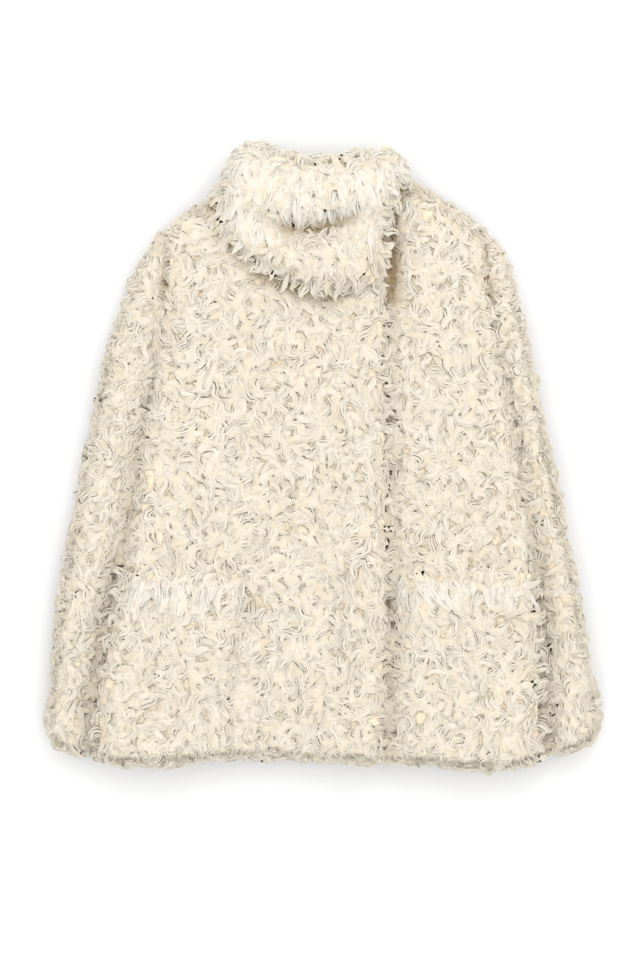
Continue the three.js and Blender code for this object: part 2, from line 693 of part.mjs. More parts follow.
// The pieces, each with the colour of its pile
const PILE = { color: 0xe7decd, roughness: 0.95, metalness: 0 };
const SHADED_PILE = { ...PILE, color: 0xdcd0ba };
const COMBED_PILE = { ...PILE, color: 0xefe7d8 };

const coat = new THREE.Group();
function piece(name, geometry, finish) {
  const mesh = new THREE.Mesh(geometry, new THREE.MeshStandardMaterial(finish));
  mesh.name = name;
  coat.add(mesh);
}

piece("back", geometryOf(backPanel()), SHADED_PILE);
piece("front_right", geometryOf(rightFront()), PILE);
piece("front_left", geometryOf(leftFront()), PILE);
piece("sleeve_right", geometryOf(sleeve(-1)), PILE);
piece("sleeve_left", geometryOf(sleeve(1)), PILE);
piece("collar", geometryOf(collar()), COMBED_PILE);
piece("pocket_right", pocket(1, POCKET_EDGE, (p) => p.rightTop), PILE);
piece("pocket_left", pocket(RIGHT_FRONT_EDGE + 1, LAST_COLUMN - 1, (p) => p.leftTop), PILE);

// The origin is the middle of the ground that the coat covers.
const box = new THREE.Box3().setFromObject(coat);
coat.position.set(-(box.min.x + box.max.x) / 2, -(box.min.y + box.max.y) / 2, -box.min.z);

export default coat;
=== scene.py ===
"""A cream faux fur coat laid flat on its back on a pale floor, seen straight from above.

Every panel is a backing, its own solid's form drawn in by the pile's depth and closed, so it is not a
thin sheet. A curly pile grows out of it as strands, several to a curl, combed where the coat is combed.
Lengths are metres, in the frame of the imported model, with X across, Y up the coat, Z off the floor.
"""

import logging
import math
from dataclasses import dataclass, replace
from enum import Enum
from typing import Sequence

import bmesh
import bpy
import numpy as np
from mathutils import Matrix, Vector
from mathutils.bvhtree import BVHTree
from mathutils.kdtree import KDTree


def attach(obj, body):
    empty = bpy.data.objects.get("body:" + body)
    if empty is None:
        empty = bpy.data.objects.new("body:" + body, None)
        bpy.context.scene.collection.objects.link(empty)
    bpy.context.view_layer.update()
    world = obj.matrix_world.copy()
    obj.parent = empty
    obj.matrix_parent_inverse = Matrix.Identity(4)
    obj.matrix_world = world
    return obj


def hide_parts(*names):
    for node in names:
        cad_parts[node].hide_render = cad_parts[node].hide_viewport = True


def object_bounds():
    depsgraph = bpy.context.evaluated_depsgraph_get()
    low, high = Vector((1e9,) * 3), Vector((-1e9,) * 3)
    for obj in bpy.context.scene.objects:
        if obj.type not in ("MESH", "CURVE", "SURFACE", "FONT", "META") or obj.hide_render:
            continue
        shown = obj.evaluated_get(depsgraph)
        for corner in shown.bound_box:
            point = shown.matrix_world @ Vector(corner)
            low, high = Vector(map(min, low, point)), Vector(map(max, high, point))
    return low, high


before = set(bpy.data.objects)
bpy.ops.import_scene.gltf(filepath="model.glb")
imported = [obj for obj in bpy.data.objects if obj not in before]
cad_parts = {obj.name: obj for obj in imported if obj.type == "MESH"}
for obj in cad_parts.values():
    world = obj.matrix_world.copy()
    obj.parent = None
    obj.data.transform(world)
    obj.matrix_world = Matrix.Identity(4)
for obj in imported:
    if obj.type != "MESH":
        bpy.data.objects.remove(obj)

CAD_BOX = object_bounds()
MM = 0.001
PHOTO_SIZE = (640, 959)
PIXEL = 1.18 * MM  # one pixel of the photograph, on the coat
TINY = 1e-6  # keeps a division away from nothing
DOWN = Vector((0, 0, -1))
LOG = logging.getLogger("coat")


class Region(Enum):
    """Where on the coat a lock grows, which decides how it is dressed."""

    BODY = "body"
    SLEEVE = "sleeve"
    BAND = "band"
    ROLL = "roll"
    LIP = "lip"
    LAP = "lap"
    EDGE = "edge"
    UNDER = "under"


@dataclass(frozen=True)
class Crease:
    """A soft trough (depth over 0) or ridge (under 0) along a line, in millimetres."""

    start: tuple[float, float]
    end: tuple[float, float]
    width: float
    depth: float

    def at(self, x: np.ndarray, y: np.ndarray) -> np.ndarray:
        """How far the surface is lowered here.

        Args:
            x: Places across the coat, in metres.
            y: Places along it.

        Returns:
            The trough's depth at each place, in metres.
        """
        ax, ay = self.start[0] * MM, self.start[1] * MM
        dx, dy = self.end[0] * MM - ax, self.end[1] * MM - ay
        run = ((x - ax) * dx + (y - ay) * dy) / (dx * dx + dy * dy)
        inside = np.clip(run, 0, 1)
        off = np.hypot(x - ax - inside * dx, y - ay - inside * dy)
        return self.depth * MM * np.exp(-((off / (self.width * MM / 2)) ** 2))


CREASES = (
    Crease((-40, 256), (40, 262), 20, 9.0),
    Crease((40, 262), (70, 268), 18, 5.0),
    Crease((-80, 250), (-40, 256), 16, 4.0),
    Crease((-236, -164), (-196, -198), 16, 5.0),
    Crease((-98, -170), (-96, -270), 15, 5.0),
    Crease((-96, -270), (-105, -330), 18, 4.0),
    Crease((-208, -205), (-230, -300), 22, 3.0),
    Crease((-120, -160), (-150, -205), 22, 2.0),
    Crease((60, 120), (66, -60), 14, 1.0),
    Crease((66, -60), (66, -345), 16, 1.5),
    Crease((240, -150), (246, -250), 26, 4.0),
    Crease((205, 60), (228, -70), 24, 3.0),
    Crease((-168, 215), (-182, 90), 20, 2.5),
    Crease((-60, 150), (-110, 60), 30, 2.0),
    Crease((110, 170), (60, 90), 34, -2.0),
    Crease((-20, -60), (-70, -140), 34, -2.0),
    Crease((40, -230), (-30, -300), 40, 2.0),
    Crease((150, -210), (130, -320), 36, 2.0),
    Crease((200, -200), (190, -310), 30, -2.0),
    Crease((-270, 60), (-285, -40), 30, 2.0),
    Crease((-280, -120), (-300, -210), 34, -2.0),
    Crease((240, 90), (262, -10), 30, 2.0),
    Crease((280, -90), (300, -190), 32, -2.0),
)


def blurred(grid: np.ndarray, reach: float) -> np.ndarray:
    """A grid smoothed by a bell curve.

    Args:
        grid: Values in rows and columns.
        reach: The curve's spread, in cells.

    Returns:
        The smoothed grid, of the same shape.
    """
    half = max(1, int(3 * reach))
    weights = np.exp(-0.5 * (np.arange(-half, half + 1) / reach) ** 2)
    weights /= weights.sum()
    for axis in (0, 1):
        wide = np.pad(grid, [(half, half) if a == axis else (0, 0) for a in (0, 1)], mode="edge")
        count = grid.shape[axis]
        parts = [w * np.take(wide, range(k, k + count), axis) for k, w in enumerate(weights)]
        grid = np.sum(parts, axis=0)
    return grid


def blurred_inside(grid: np.ndarray, inside: np.ndarray, reach: float) -> np.ndarray:
    """A grid smoothed over the coat alone, so that the floor round it doesn't pull it down.

    Args:
        grid: Values, 0 outside the coat.
        inside: 1 in the cells that the coat covers.
        reach: The curve's spread, in cells.

    Returns:
        The smoothed grid.
    """
    return blurred(grid, reach) / np.maximum(blurred(inside, reach), TINY)


def linked(made: bpy.types.Object) -> bpy.types.Object:
    """Puts an object into the scene."""
    bpy.context.scene.collection.objects.link(made)
    return made


@dataclass
class Relief:
    """The coat's upper surface as a grid of heights, and how far each place is from its outline.

    Attributes:
        cell: Size of one cell.
        margin: Clear floor round the coat that the grid takes in.
        soften: How far the heights are smoothed.
        hull_reach: How far they are smoothed to tell the hollows, which take painted shade.
        least_pile: Least depth of pile over the backing.
        most_slope: Steepest fall that the shading of the pile takes after.
        ramp: How far the pile at the foot of a step climbs toward its brim.
        filled: How far it does so.
        collar_foot: Where the collar starts, over which the steps are left.
        collar_blend: Over what length that sets in.
    """

    cell: float = 3 * MM
    margin: float = 45 * MM
    soften: float = 3 * MM
    hull_reach: float = 19 * MM
    least_pile: float = 3 * MM
    most_slope: float = 0.8
    ramp: float = 7 * MM
    filled: float = 0.9
    collar_foot: float = 190 * MM
    collar_blend: float = 20 * MM

    def __post_init__(self) -> None:
        """Casts a ray down on every cell and works out the grids."""
        low, high = CAD_BOX
        self.x0, self.y0 = low.x - self.margin, low.y - self.margin
        self.columns = int((high.x - low.x + 2 * self.margin) / self.cell) + 2
        self.rows = int((high.y - low.y + 2 * self.margin) / self.cell) + 2
        vertices, faces = [], []
        for name in sorted(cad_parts):
            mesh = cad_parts[name].data
            base = len(vertices)
            vertices += [v.co.copy() for v in mesh.vertices]
            for polygon in mesh.polygons:
                faces.append([base + v for v in polygon.vertices])
        self.tree = BVHTree.FromPolygons(vertices, faces)
        heights = np.zeros((self.rows, self.columns))
        inside = np.zeros((self.rows, self.columns), bool)
        for row in range(self.rows):
            y = self.y0 + row * self.cell
            for column in range(self.columns):
                x = self.x0 + column * self.cell
                hit = self.tree.ray_cast(Vector((x, y, 1)), DOWN)
                if hit[0] is not None:
                    heights[row, column] = hit[0].z
                    inside[row, column] = True
        self.inside = inside
        self.away = self._distance(inside)
        xs = self.x0 + np.arange(self.columns) * self.cell
        ys = self.y0 + np.arange(self.rows) * self.cell
        grid_x, grid_y = np.meshgrid(xs, ys)
        for crease in CREASES:
            heights = np.where(inside, heights - crease.at(grid_x, grid_y), heights)
        covered = inside.astype(float)
        smooth = blurred_inside(heights * inside, covered, self.soften / self.cell)
        ramp = blurred_inside(smooth, covered, self.ramp / self.cell)
        smooth += self.filled * self._below_collar(grid_y) * np.maximum(ramp - smooth, 0)
        self.top = np.where(inside, smooth, 0.0)
        self.bed = self.top
        self.hull = blurred_inside(self.top, covered, self.hull_reach / self.cell)
        away_y, away_x = np.gradient(blurred(self.away, 1.2), self.cell)
        self.outward = (away_x, away_y)
        self.slope_y, self.slope_x = np.gradient(blurred(self.top, 1.5), self.cell)

    def lay_bed(self, cloths: Sequence[bpy.types.Object]) -> None:
        """Reads the height of the backings, which the pile stands on.

        Args:
            cloths: Every panel's backing.
        """
        graph = bpy.context.evaluated_depsgraph_get()
        trees = [BVHTree.FromObject(cloth, graph) for cloth in cloths]
        bed = np.zeros_like(self.top)
        for row, column in np.argwhere(self.inside):
            above = Vector((self.x0 + column * self.cell, self.y0 + row * self.cell, 1))
            hits = [tree.ray_cast(above, DOWN)[0] for tree in trees]
            bed[row, column] = max([hit.z for hit in hits if hit is not None], default=0.0)
        self.bed = blurred_inside(bed, (bed > 0).astype(float), 1)
        self.top = np.where(self.inside, np.maximum(self.top, self.bed + self.least_pile), 0)

    def _below_collar(self, y: np.ndarray) -> np.ndarray:
        """A share for each place along the coat, from 0 on the collar to 1 below it."""
        return np.clip((self.collar_foot - y) / self.collar_blend, 0, 1)

    def _distance(self, inside: np.ndarray) -> np.ndarray:
        """How far each cell is outside the outline, less than 0 inside it.

        Args:
            inside: True for the cells that the coat covers.

        Returns:
            Distances in metres.
        """
        edge = inside.copy()
        edge[1:-1, 1:-1] &= ~(
            inside[:-2, 1:-1] & inside[2:, 1:-1] & inside[1:-1, :-2] & inside[1:-1, 2:]
        )
        places = np.argwhere(edge)
        tree = KDTree(len(places))
        for k, (row, column) in enumerate(places):
            tree.insert((column * self.cell, row * self.cell, 0), k)
        tree.balance()
        found = np.zeros(inside.shape)
        for row in range(self.rows):
            for column in range(self.columns):
                found[row, column] = tree.find((column * self.cell, row * self.cell, 0))[2]
        return np.where(inside, -found, found)

    def read(self, grid: np.ndarray, x: np.ndarray, y: np.ndarray) -> np.ndarray:
        """A grid's values between its cells.

        Args:
            grid: One of this relief's grids.
            x: Places across the coat.
            y: Places along it.

        Returns:
            The values there, carried evenly between cells.
        """
        column = np.clip((x - self.x0) / self.cell, 0, self.columns - 1.001)
        row = np.clip((y - self.y0) / self.cell, 0, self.rows - 1.001)
        c, r = column.astype(int), row.astype(int)
        u, v = column - c, row - r
        low = grid[r, c] * (1 - u) + grid[r, c + 1] * u
        high = grid[r + 1, c] * (1 - u) + grid[r + 1, c + 1] * u
        return low * (1 - v) + high * v

    def facing(self, x: np.ndarray, y: np.ndarray) -> np.ndarray:
        """Which way the coat's surface faces.

        Args:
            x: Places across the coat.
            y: Places along it.

        Returns:
            A unit vector for each place.
        """
        slope_x, slope_y = self.read(self.slope_x, x, y), self.read(self.slope_y, x, y)
        steep = np.maximum(np.hypot(slope_x, slope_y) / self.most_slope, 1)
        normal = np.stack([-slope_x / steep, -slope_y / steep, np.ones_like(x)], axis=-1)
        return normal / np.linalg.norm(normal, axis=-1, keepdims=True)

    def painted_shade(self, points: np.ndarray) -> np.ndarray:
        """Painted shade: how deep places lie in a crease, under an edge or low in the pile.

        Args:
            points: Places on strands.

        Returns:
            A share for each, from 0 in the open to 1 deep down.
        """
        x, y = points[..., 0], points[..., 1]
        top = self.read(self.top, x, y)
        sunk = (self.read(self.hull, x, y) - np.maximum(top, points[..., 2]) - 1.5 * MM) / (6 * MM)
        inner = np.clip(-self.read(self.away, x, y) / (10 * MM), 0, 1)
        under = 0.12 * np.clip((top - points[..., 2]) / (4 * MM), 0, 1)
        share = 1 - 0.75 * self._below_collar(y)
        return np.clip(np.clip(sunk, 0, 1) * share + under, 0, 1) * inner

    def shows(self, point: Vector, normal: Vector, clear: float = 26 * MM) -> bool:
        """Whether a place on a panel is open to the air.

        Args:
            point: A place on a panel.
            normal: Its outward direction.
            clear: Open space that it needs.

        Returns:
            False where another panel, or the floor under the coat, covers it.
        """
        hit = self.tree.ray_cast(point + normal * 0.6 * MM, normal, clear)
        return hit[0] is None


@dataclass(frozen=True)
class LockStyle:
    """How the locks of one region are cut and curled. Lengths are in millimetres.

    Attributes:
        spacing: Least distance between two locks' roots.
        length: Shortest and longest lock.
        hairs: Strands in a lock.
        width: A strand's width.
        spread: Half the width of a lock.
        swing: How far the heading swings to each side, in radians.
        wave: Length of one wave.
        bend: Most that a lock turns from root to tip, in radians.
        stray: Spread of headings about the flow, in radians.
        lie: Lowest and highest crest, from 0 on the backing to 1 at the outer surface.
        rings: Sections along a strand.
        reach: How far past the outline tips may stand.
        flatness: A strand's thickness as a share of its width.
        core: Width of the flat strand in the middle of a lock, if it has one.
        fall: Steepest fall of a lock along its run.
    """

    spacing: float
    length: tuple[float, float]
    hairs: int
    width: float
    spread: float
    swing: tuple[float, float]
    wave: tuple[float, float]
    bend: float
    stray: float
    lie: tuple[float, float]
    rings: int = 6
    reach: tuple[float, float] = (1.0, 7.0)
    flatness: float = 0.42
    core: float = 0.0
    fall: float = 0.55


CURLY = LockStyle(
    9.45, (26, 42), 5, 2.1, 4.1, (0.5, 1.1), (21, 34), 2.0, 0.8, (0.7, 1.0), 6, core=3.4
)
COMBED = LockStyle(
    7.6, (24, 38), 5, 2.2, 3.6, (0.05, 0.35), (24, 40), 0.6, 0.3, (0.8, 1.0), 5, core=3.8
)
LAPPED = replace(CURLY, spacing=7.2, length=(22, 34), fall=0.3)
EDGE_CURLS = LockStyle(
    7.9, (16, 28), 4, 2.6, 3.8, (0.3, 0.8), (16, 26), 1.4, 0.5, (0.5, 1.0), 5, core=3.8
)
UNDERCOAT = LockStyle(
    8.0, (22, 36), 1, 9.4, 0.0, (0.2, 0.5), (26, 40), 1.0, 1.6, (0.5, 0.8), 5, flatness=0.09
)
UNDER_LOCKS = LockStyle(20.0, (26, 40), 1, 3.0, 3.0, (0.2, 0.8), (20, 34), 1.0, 0.7, (0.0, 0.0), 5)
STYLES = {
    Region.BODY: (UNDERCOAT, CURLY),
    Region.SLEEVE: (UNDERCOAT, replace(CURLY, length=(24, 40), stray=0.55)),
    Region.BAND: (UNDERCOAT, COMBED),
    Region.ROLL: (UNDERCOAT, COMBED),
    Region.LIP: (UNDERCOAT, replace(CURLY, length=(24, 38), swing=(0.35, 0.9), stray=0.5)),
    Region.LAP: (LAPPED,),
    Region.EDGE: (EDGE_CURLS,),
    Region.UNDER: (UNDER_LOCKS,),
}


@dataclass
class Roots:
    """Where the locks of one style leave a panel, and which way they head."""

    points: np.ndarray
    side: np.ndarray
    heading: np.ndarray


@dataclass
class StrandMesh:
    """Strands of one kind, as arrays that become one mesh."""

    corners: np.ndarray
    tips: np.ndarray
    facing: np.ndarray
    tone: np.ndarray
    painted_shade: np.ndarray
    girth: np.ndarray

    SIDES = 3

    def triangles_each(self) -> int:
        """Triangles in one strand: its sides, its tip and its root."""
        rings = self.corners.shape[1]
        return (rings - 1) * self.SIDES * 2 + self.SIDES + 1

    def part(self, first: int, last: int) -> "StrandMesh":
        """The strands from first up to last."""
        kept = slice(first, last)
        arrays = (self.corners, self.tips, self.facing, self.tone, self.painted_shade, self.girth)
        return StrandMesh(*(array[kept] for array in arrays))

    def build(self, name: str) -> bpy.types.Object:
        """Makes the strands into one mesh of closed tapered tubes.

        Args:
            name: The new object's name.

        Returns:
            The object, with a map of each strand, its tone, its girth and its painted shade.
        """
        count, rings, sides, _ = self.corners.shape
        per = rings * sides + 1
        points = np.concatenate([self.corners.reshape(count, rings * sides, 3), self.tips], axis=1)
        loops, totals, around, along = self._faces(rings, sides)
        base = (np.arange(count) * per)[:, None]
        mesh = bpy.data.meshes.new(name)
        mesh.vertices.add(count * per)
        mesh.vertices.foreach_set("co", points.astype(np.float32).ravel())
        mesh.loops.add(count * len(loops))
        mesh.loops.foreach_set("vertex_index", (base + loops).astype(np.int32).ravel())
        starts = np.concatenate([[0], np.cumsum(totals)[:-1]])
        mesh.polygons.add(count * len(totals))
        face_base = (np.arange(count) * len(loops))[:, None]
        mesh.polygons.foreach_set("loop_start", (face_base + starts).astype(np.int32).ravel())
        mesh.update(calc_edges=True)
        chart = mesh.uv_layers.new(name="strand")
        pairs = np.tile(np.stack([around, along], axis=1), (count, 1))
        chart.uv.foreach_set("vector", pairs.astype(np.float32).ravel())
        noted = {
            "tone": np.repeat(self.tone, per),
            "girth": np.repeat(self.girth / MM, per),
            # the painted shade of each place, which darkens its colour where shade falls
            "painted_shade": self.painted_shade.ravel(),
        }
        for label, values in noted.items():
            attribute = mesh.attributes.new(label, "FLOAT", "POINT")
            attribute.data.foreach_set("value", values.astype(np.float32))
        mesh.shade_smooth()
        mesh.normals_split_custom_set_from_vertices(self.facing.reshape(-1, 3).tolist())
        return linked(bpy.data.objects.new(name, mesh))

    @staticmethod
    def _faces(rings: int, sides: int) -> tuple[np.ndarray, np.ndarray, np.ndarray, np.ndarray]:
        """One strand's faces.

        Args:
            rings: Sections along it.
            sides: Corners of a section.

        Returns:
            Corner numbers face by face, corners of each face, and both map coordinates.
        """
        loops, totals, around, along = [], [], [], []
        tip = rings * sides
        for ring in range(rings):
            low, high = ring / rings, (ring + 1) / rings
            for side in range(sides):
                a, b = ring * sides + side, ring * sides + (side + 1) % sides
                u = (side + sides / 2) % sides / sides
                v = u + 1 / sides
                if ring < rings - 1:
                    loops += [a, a + sides, b + sides, b]
                    around += [u, u, v, v]
                    along += [low, high, high, low]
                    totals.append(4)
                else:
                    loops += [a, tip, b]
                    around += [u, (u + v) / 2, v]
                    along += [low, high, low]
                    totals.append(3)
        loops += list(range(sides))
        around += [side / sides for side in range(sides)]
        along += [0.0] * sides
        totals.append(sides)
        return np.array(loops), np.array(totals), np.array(around), np.array(along)


@dataclass
class Barber:
    """Grows strands from roots and lays them on the coat.

    Attributes:
        relief: The coat's upper surface.
        climb: Steepest rise.
        softness: How far a strand's shading takes after the surface that it lies on.
        floor_gap: Least height of a strand's middle line.
        tumble: How far the hairs of one lock stand over and under each other.
        most_draw: Most that a lock is drawn in from the outline in one step.
        draws: How many such steps there are.
        trims: How many times a lock that stands out too far is cut.
        trim: Share of its length that each cut leaves.
        skin_gap: Least height of a strand's surface.
        wander: How far each hair sways on its own.
    """

    relief: Relief
    climb: float = 0.7
    softness: float = 0.84
    floor_gap: float = 0.8 * MM
    tumble: float = 0.8 * MM
    most_draw: float = 3 * MM
    draws: int = 4
    trims: int = 9
    trim: float = 0.82
    skin_gap: float = 0.2 * MM
    wander: float = 0.8 * MM

    def grow(self, roots: Roots, style: LockStyle, rng: np.random.Generator) -> StrandMesh:
        """Grows every lock of one style.

        Args:
            roots: Where they start.
            style: How they are cut and curled.
            rng: The panel's own random numbers.

        Returns:
            The strands.
        """
        count, steps = len(roots.points), style.rings + 1
        run = np.linspace(0, 1, steps)
        length = rng.uniform(*style.length, count) * MM
        swing = rng.uniform(*style.swing, count) * rng.choice((-1, 1), count)
        wave = rng.uniform(*style.wave, count) * MM
        phase = rng.uniform(0, 2 * math.pi, count)
        bend = rng.uniform(-style.bend, style.bend, count)
        aim = roots.heading + rng.normal(0, style.stray, count)
        middle = (run[:-1] + run[1:]) / 2
        angle = self._angles(aim, swing, wave, phase, bend, length, middle)
        step = (length / (steps - 1))[:, None]
        start = roots.points
        zero = np.zeros((count, 1))
        x = start[:, :1] + np.concatenate([zero, np.cumsum(np.cos(angle) * step, 1)], 1)
        y = start[:, 1:2] + np.concatenate([zero, np.cumsum(np.sin(angle) * step, 1)], 1)
        reach = rng.uniform(*style.reach, count)[:, None] * MM
        x, y = self._drawn_in(x, y, reach, roots.side)
        x, y, kept = self._trimmed(x, y, reach)
        z = self._heights(x, y, roots, style, run, step[:, 0], rng)
        path = np.stack([x, y, z], axis=2)
        return self._strands(path, style, run, kept, rng)

    @staticmethod
    def _angles(
        aim: np.ndarray,
        swing: np.ndarray,
        wave: np.ndarray,
        phase: np.ndarray,
        bend: np.ndarray,
        length: np.ndarray,
        run: np.ndarray,
    ) -> np.ndarray:
        """Each lock's heading along its run.

        Args:
            aim: Heading that it sways about.
            swing: How far it sways.
            wave: Length of a wave.
            phase: Where in a wave it starts.
            bend: How far it turns in all.
            length: Its length.
            run: Places along it, from 0 to 1.

        Returns:
            Headings, a row for each lock.
        """
        turns = 2 * math.pi * length / wave
        sway = swing[:, None] * np.sin(turns[:, None] * run + phase[:, None])
        return aim[:, None] + sway + bend[:, None] * (run - 0.3)

    def _drawn_in(
        self, x: np.ndarray, y: np.ndarray, reach: np.ndarray, side: np.ndarray
    ) -> tuple[np.ndarray, np.ndarray]:
        """Moves the locks that would stand too far past the outline inward, roots and all.

        Args:
            x: Places across the coat, a row for each lock.
            y: Places along it.
            reach: How far past the outline each lock may stand.
            side: True for the locks that hang from a side, which stay.

        Returns:
            The places.
        """
        rows = np.arange(len(x))
        for _ in range(self.draws):
            out = self.relief.read(self.relief.away, x, y)
            worst = out.argmax(axis=1)
            over = np.clip(out[rows, worst] - reach[:, 0], 0, self.most_draw)
            at_x, at_y = x[rows, worst], y[rows, worst]
            away_x, away_y = (self.relief.read(grid, at_x, at_y) for grid in self.relief.outward)
            over = np.where(side, 0, over)[:, None]
            x, y = x - over * away_x[:, None], y - over * away_y[:, None]
        return x, y

    def _trimmed(
        self, x: np.ndarray, y: np.ndarray, reach: np.ndarray
    ) -> tuple[np.ndarray, np.ndarray, np.ndarray]:
        """Shortens the locks that would stand too far past the coat's outline.

        Args:
            x: Places across the coat, a row for each lock.
            y: Places along it.
            reach: How far past the outline each lock may stand.

        Returns:
            The places, drawn toward the roots, and the share of its length that each lock keeps.
        """
        kept = np.ones((len(x), 1))
        away_x, away_y = x - x[:, :1], y - y[:, :1]
        for _ in range(self.trims):
            at_x, at_y = x[:, :1] + kept * away_x, y[:, :1] + kept * away_y
            out = self.relief.read(self.relief.away, at_x, at_y)
            kept = np.where((out > reach).any(axis=1, keepdims=True), self.trim * kept, kept)
        return x[:, :1] + kept * away_x, y[:, :1] + kept * away_y, kept[:, 0]

    def _heights(
        self,
        x: np.ndarray,
        y: np.ndarray,
        roots: Roots,
        style: LockStyle,
        run: np.ndarray,
        step: np.ndarray,
        rng: np.random.Generator,
    ) -> np.ndarray:
        """Lays each lock on what is under it, as stiffly as hair lies.

        Args:
            x: Places across the coat.
            y: Places along it.
            roots: Where the locks start.
            style: How they lie.
            run: Places along a lock, from 0 to 1.
            step: Length of one step of each lock.
            rng: The panel's random numbers.

        Returns:
            The height of each place.
        """
        count = len(x)
        top = self.relief.read(self.relief.top, x, y)
        bed = self.relief.read(self.relief.bed, x, y)
        crest = rng.uniform(*style.lie, count)[:, None]
        tip = rng.uniform(-0.4, 0.1, count)[:, None] * np.maximum(run - 0.6, 0) / 0.4
        rise = np.minimum(run / 0.3, 1)[None, :]
        ground = bed + (top - bed) * (crest * rise + tip)
        z = np.zeros_like(x)
        start = np.maximum(bed[:, 0] - 0.5 * MM, self.floor_gap)
        z[:, 0] = np.where(roots.side, roots.points[:, 2], start)
        sag = rng.uniform(-0.1, style.fall, count)
        for k in range(1, x.shape[1]):
            laid = np.clip(
                ground[:, k],
                z[:, k - 1] - style.fall * step,
                z[:, k - 1] + self.climb * step,
            )
            hung = z[:, k - 1] - sag * step
            z[:, k] = np.where(roots.side, hung, laid)
            z[:, k] = np.maximum(z[:, k], self.floor_gap)
        return z

    def _strands(
        self,
        path: np.ndarray,
        style: LockStyle,
        run: np.ndarray,
        kept: np.ndarray,
        rng: np.random.Generator,
    ) -> StrandMesh:
        """Winds the hairs of each lock round its middle line and gives them a section.

        Args:
            path: Middle lines, a row for each lock.
            style: How the locks are made up.
            run: Places along a lock.
            kept: Share of its length that each lock kept at the outline.
            rng: The panel's random numbers.

        Returns:
            The strands.
        """
        count, steps, _ = path.shape
        side, up = self._frames(path)
        place = np.linspace(-1, 1, style.hairs) if style.hairs > 1 else np.zeros(1)
        place = place[None, :] + rng.normal(0, 0.16, (count, style.hairs))
        full = (0.5 + 0.6 * np.sin(math.pi * run**0.8)) * np.where(run > 0.6, 1.5 - 0.83 * run, 1)
        roll = rng.uniform(-1.2, 1.2, count)[:, None, None] * run[None, None, :]
        across = style.spread * MM * full[None, None, :] * place[..., None] * np.cos(roll)
        turn = rng.uniform(0, 2 * math.pi, (count, style.hairs, 1))
        wander = np.sin(turn + rng.uniform(5, 9, (count, style.hairs, 1)) * run[None, None, :])
        across += self.wander * min(style.hairs - 1, 1) * run[None, None, :] ** 0.5 * wander
        stand = rng.uniform(-0.5, 0.8, (count, style.hairs, 1)) * self.tumble
        above = stand * np.sin(math.pi * np.minimum(run + 0.15, 1))[None, None, :]
        centre = path[:, None] + across[..., None] * side[:, None] + above[..., None] * up[:, None]
        centre[..., 2] = np.maximum(centre[..., 2], self.floor_gap)
        centre = centre.reshape(count * style.hairs, steps, 3)
        side, up = self._frames(centre)
        width = np.full(style.hairs, style.width)
        flat = np.full(style.hairs, style.flatness)
        if style.core:
            width[style.hairs // 2], flat[style.hairs // 2] = style.core, 0.25
        girth = (rng.uniform(0.75, 1.2, (count, style.hairs)) * width / 2 * MM).ravel()
        girth *= np.repeat(0.4 + 0.6 * kept, style.hairs)
        flat = np.tile(flat, count)[:, None, None]
        taper = np.minimum(0.3 + 2.2 * run, 1) * np.minimum((1.12 - run) / 0.5, 1) ** 0.7
        move = np.gradient(centre[..., :2], axis=1)
        heading = np.unwrap(np.arctan2(move[..., 1], move[..., 0]), axis=1)
        rate = np.abs(np.gradient(heading, axis=1)) / np.maximum(
            np.hypot(move[..., 0], move[..., 1]), 0.1 * MM
        )
        half = np.minimum(girth[:, None] * taper[None, :], 0.8 / np.maximum(rate, TINY))
        ground = self.relief.facing(centre[..., 0], centre[..., 1])
        corners, facing = [], []
        for k in range(StrandMesh.SIDES):
            angle = math.pi / 2 + 2 * math.pi * k / StrandMesh.SIDES
            out, rise = math.cos(angle) * side, math.sin(angle) * up
            corners.append(centre + (out + flat * rise) * half[..., None])
            facing.append(self.softness * ground + (1 - self.softness) * (out + rise))
        stacked = np.stack(corners, axis=2)[:, :-1]
        stacked[..., 2] = np.maximum(stacked[..., 2], self.skin_gap)
        faced = np.stack(facing, axis=2)[:, :-1].reshape(len(centre), -1, 3)
        faced = np.concatenate([faced, ground[:, -1:]], axis=1)
        faced /= np.linalg.norm(faced, axis=2, keepdims=True)
        tone = np.repeat(rng.uniform(0, 1, count), style.hairs)
        tone = np.clip(tone + rng.normal(0, 0.15, len(tone)), 0, 1)
        every = np.concatenate([stacked.reshape(len(centre), -1, 3), centre[:, -1:]], axis=1)
        # painted shade: how far each place is darkened for lying in a crease, under an edge or low in the
        # pile
        painted_shade = self.relief.painted_shade(every)
        return StrandMesh(stacked, centre[:, -1:], faced, tone, painted_shade, 2 * girth)

    @staticmethod
    def _frames(path: np.ndarray) -> tuple[np.ndarray, np.ndarray]:
        """The sideways and upward directions along each line.

        Args:
            path: Lines, a row of points for each.

        Returns:
            Unit vectors to the side and up, one for each point.
        """
        tangent = np.gradient(path, axis=1)
        tangent /= np.maximum(np.linalg.norm(tangent, axis=2, keepdims=True), 1e-9)
        side = np.cross(tangent, np.array([0.0, 0.0, 1.0]))
        side /= np.maximum(np.linalg.norm(side, axis=2, keepdims=True), 1e-9)
        turned = np.where(np.sum(side[:, 1:] * side[:, :-1], axis=2) < 0, -1.0, 1.0)
        side[:, 1:] *= np.cumprod(turned, axis=1)[..., None]
        return side, np.cross(side, tangent)


def group_of(name: str, inputs: Sequence[tuple], outputs: Sequence[tuple]) -> bpy.types.NodeTree:
    """A new shader node group with its sockets.

    Args:
        name: The group's name.
        inputs: Name, socket type and default of each input.
        outputs: Name and socket type of each output.

    Returns:
        The group, holding only its input and output nodes.
    """
    made = bpy.data.node_groups.new(name, "ShaderNodeTree")
    for label, kind, value in inputs:
        socket = made.interface.new_socket(label, in_out="INPUT", socket_type=kind)
        if value is not None:
            socket.default_value = value
    for label, kind in outputs:
        made.interface.new_socket(label, in_out="OUTPUT", socket_type=kind)
    made.nodes.new("NodeGroupInput")
    made.nodes.new("NodeGroupOutput")
    return made


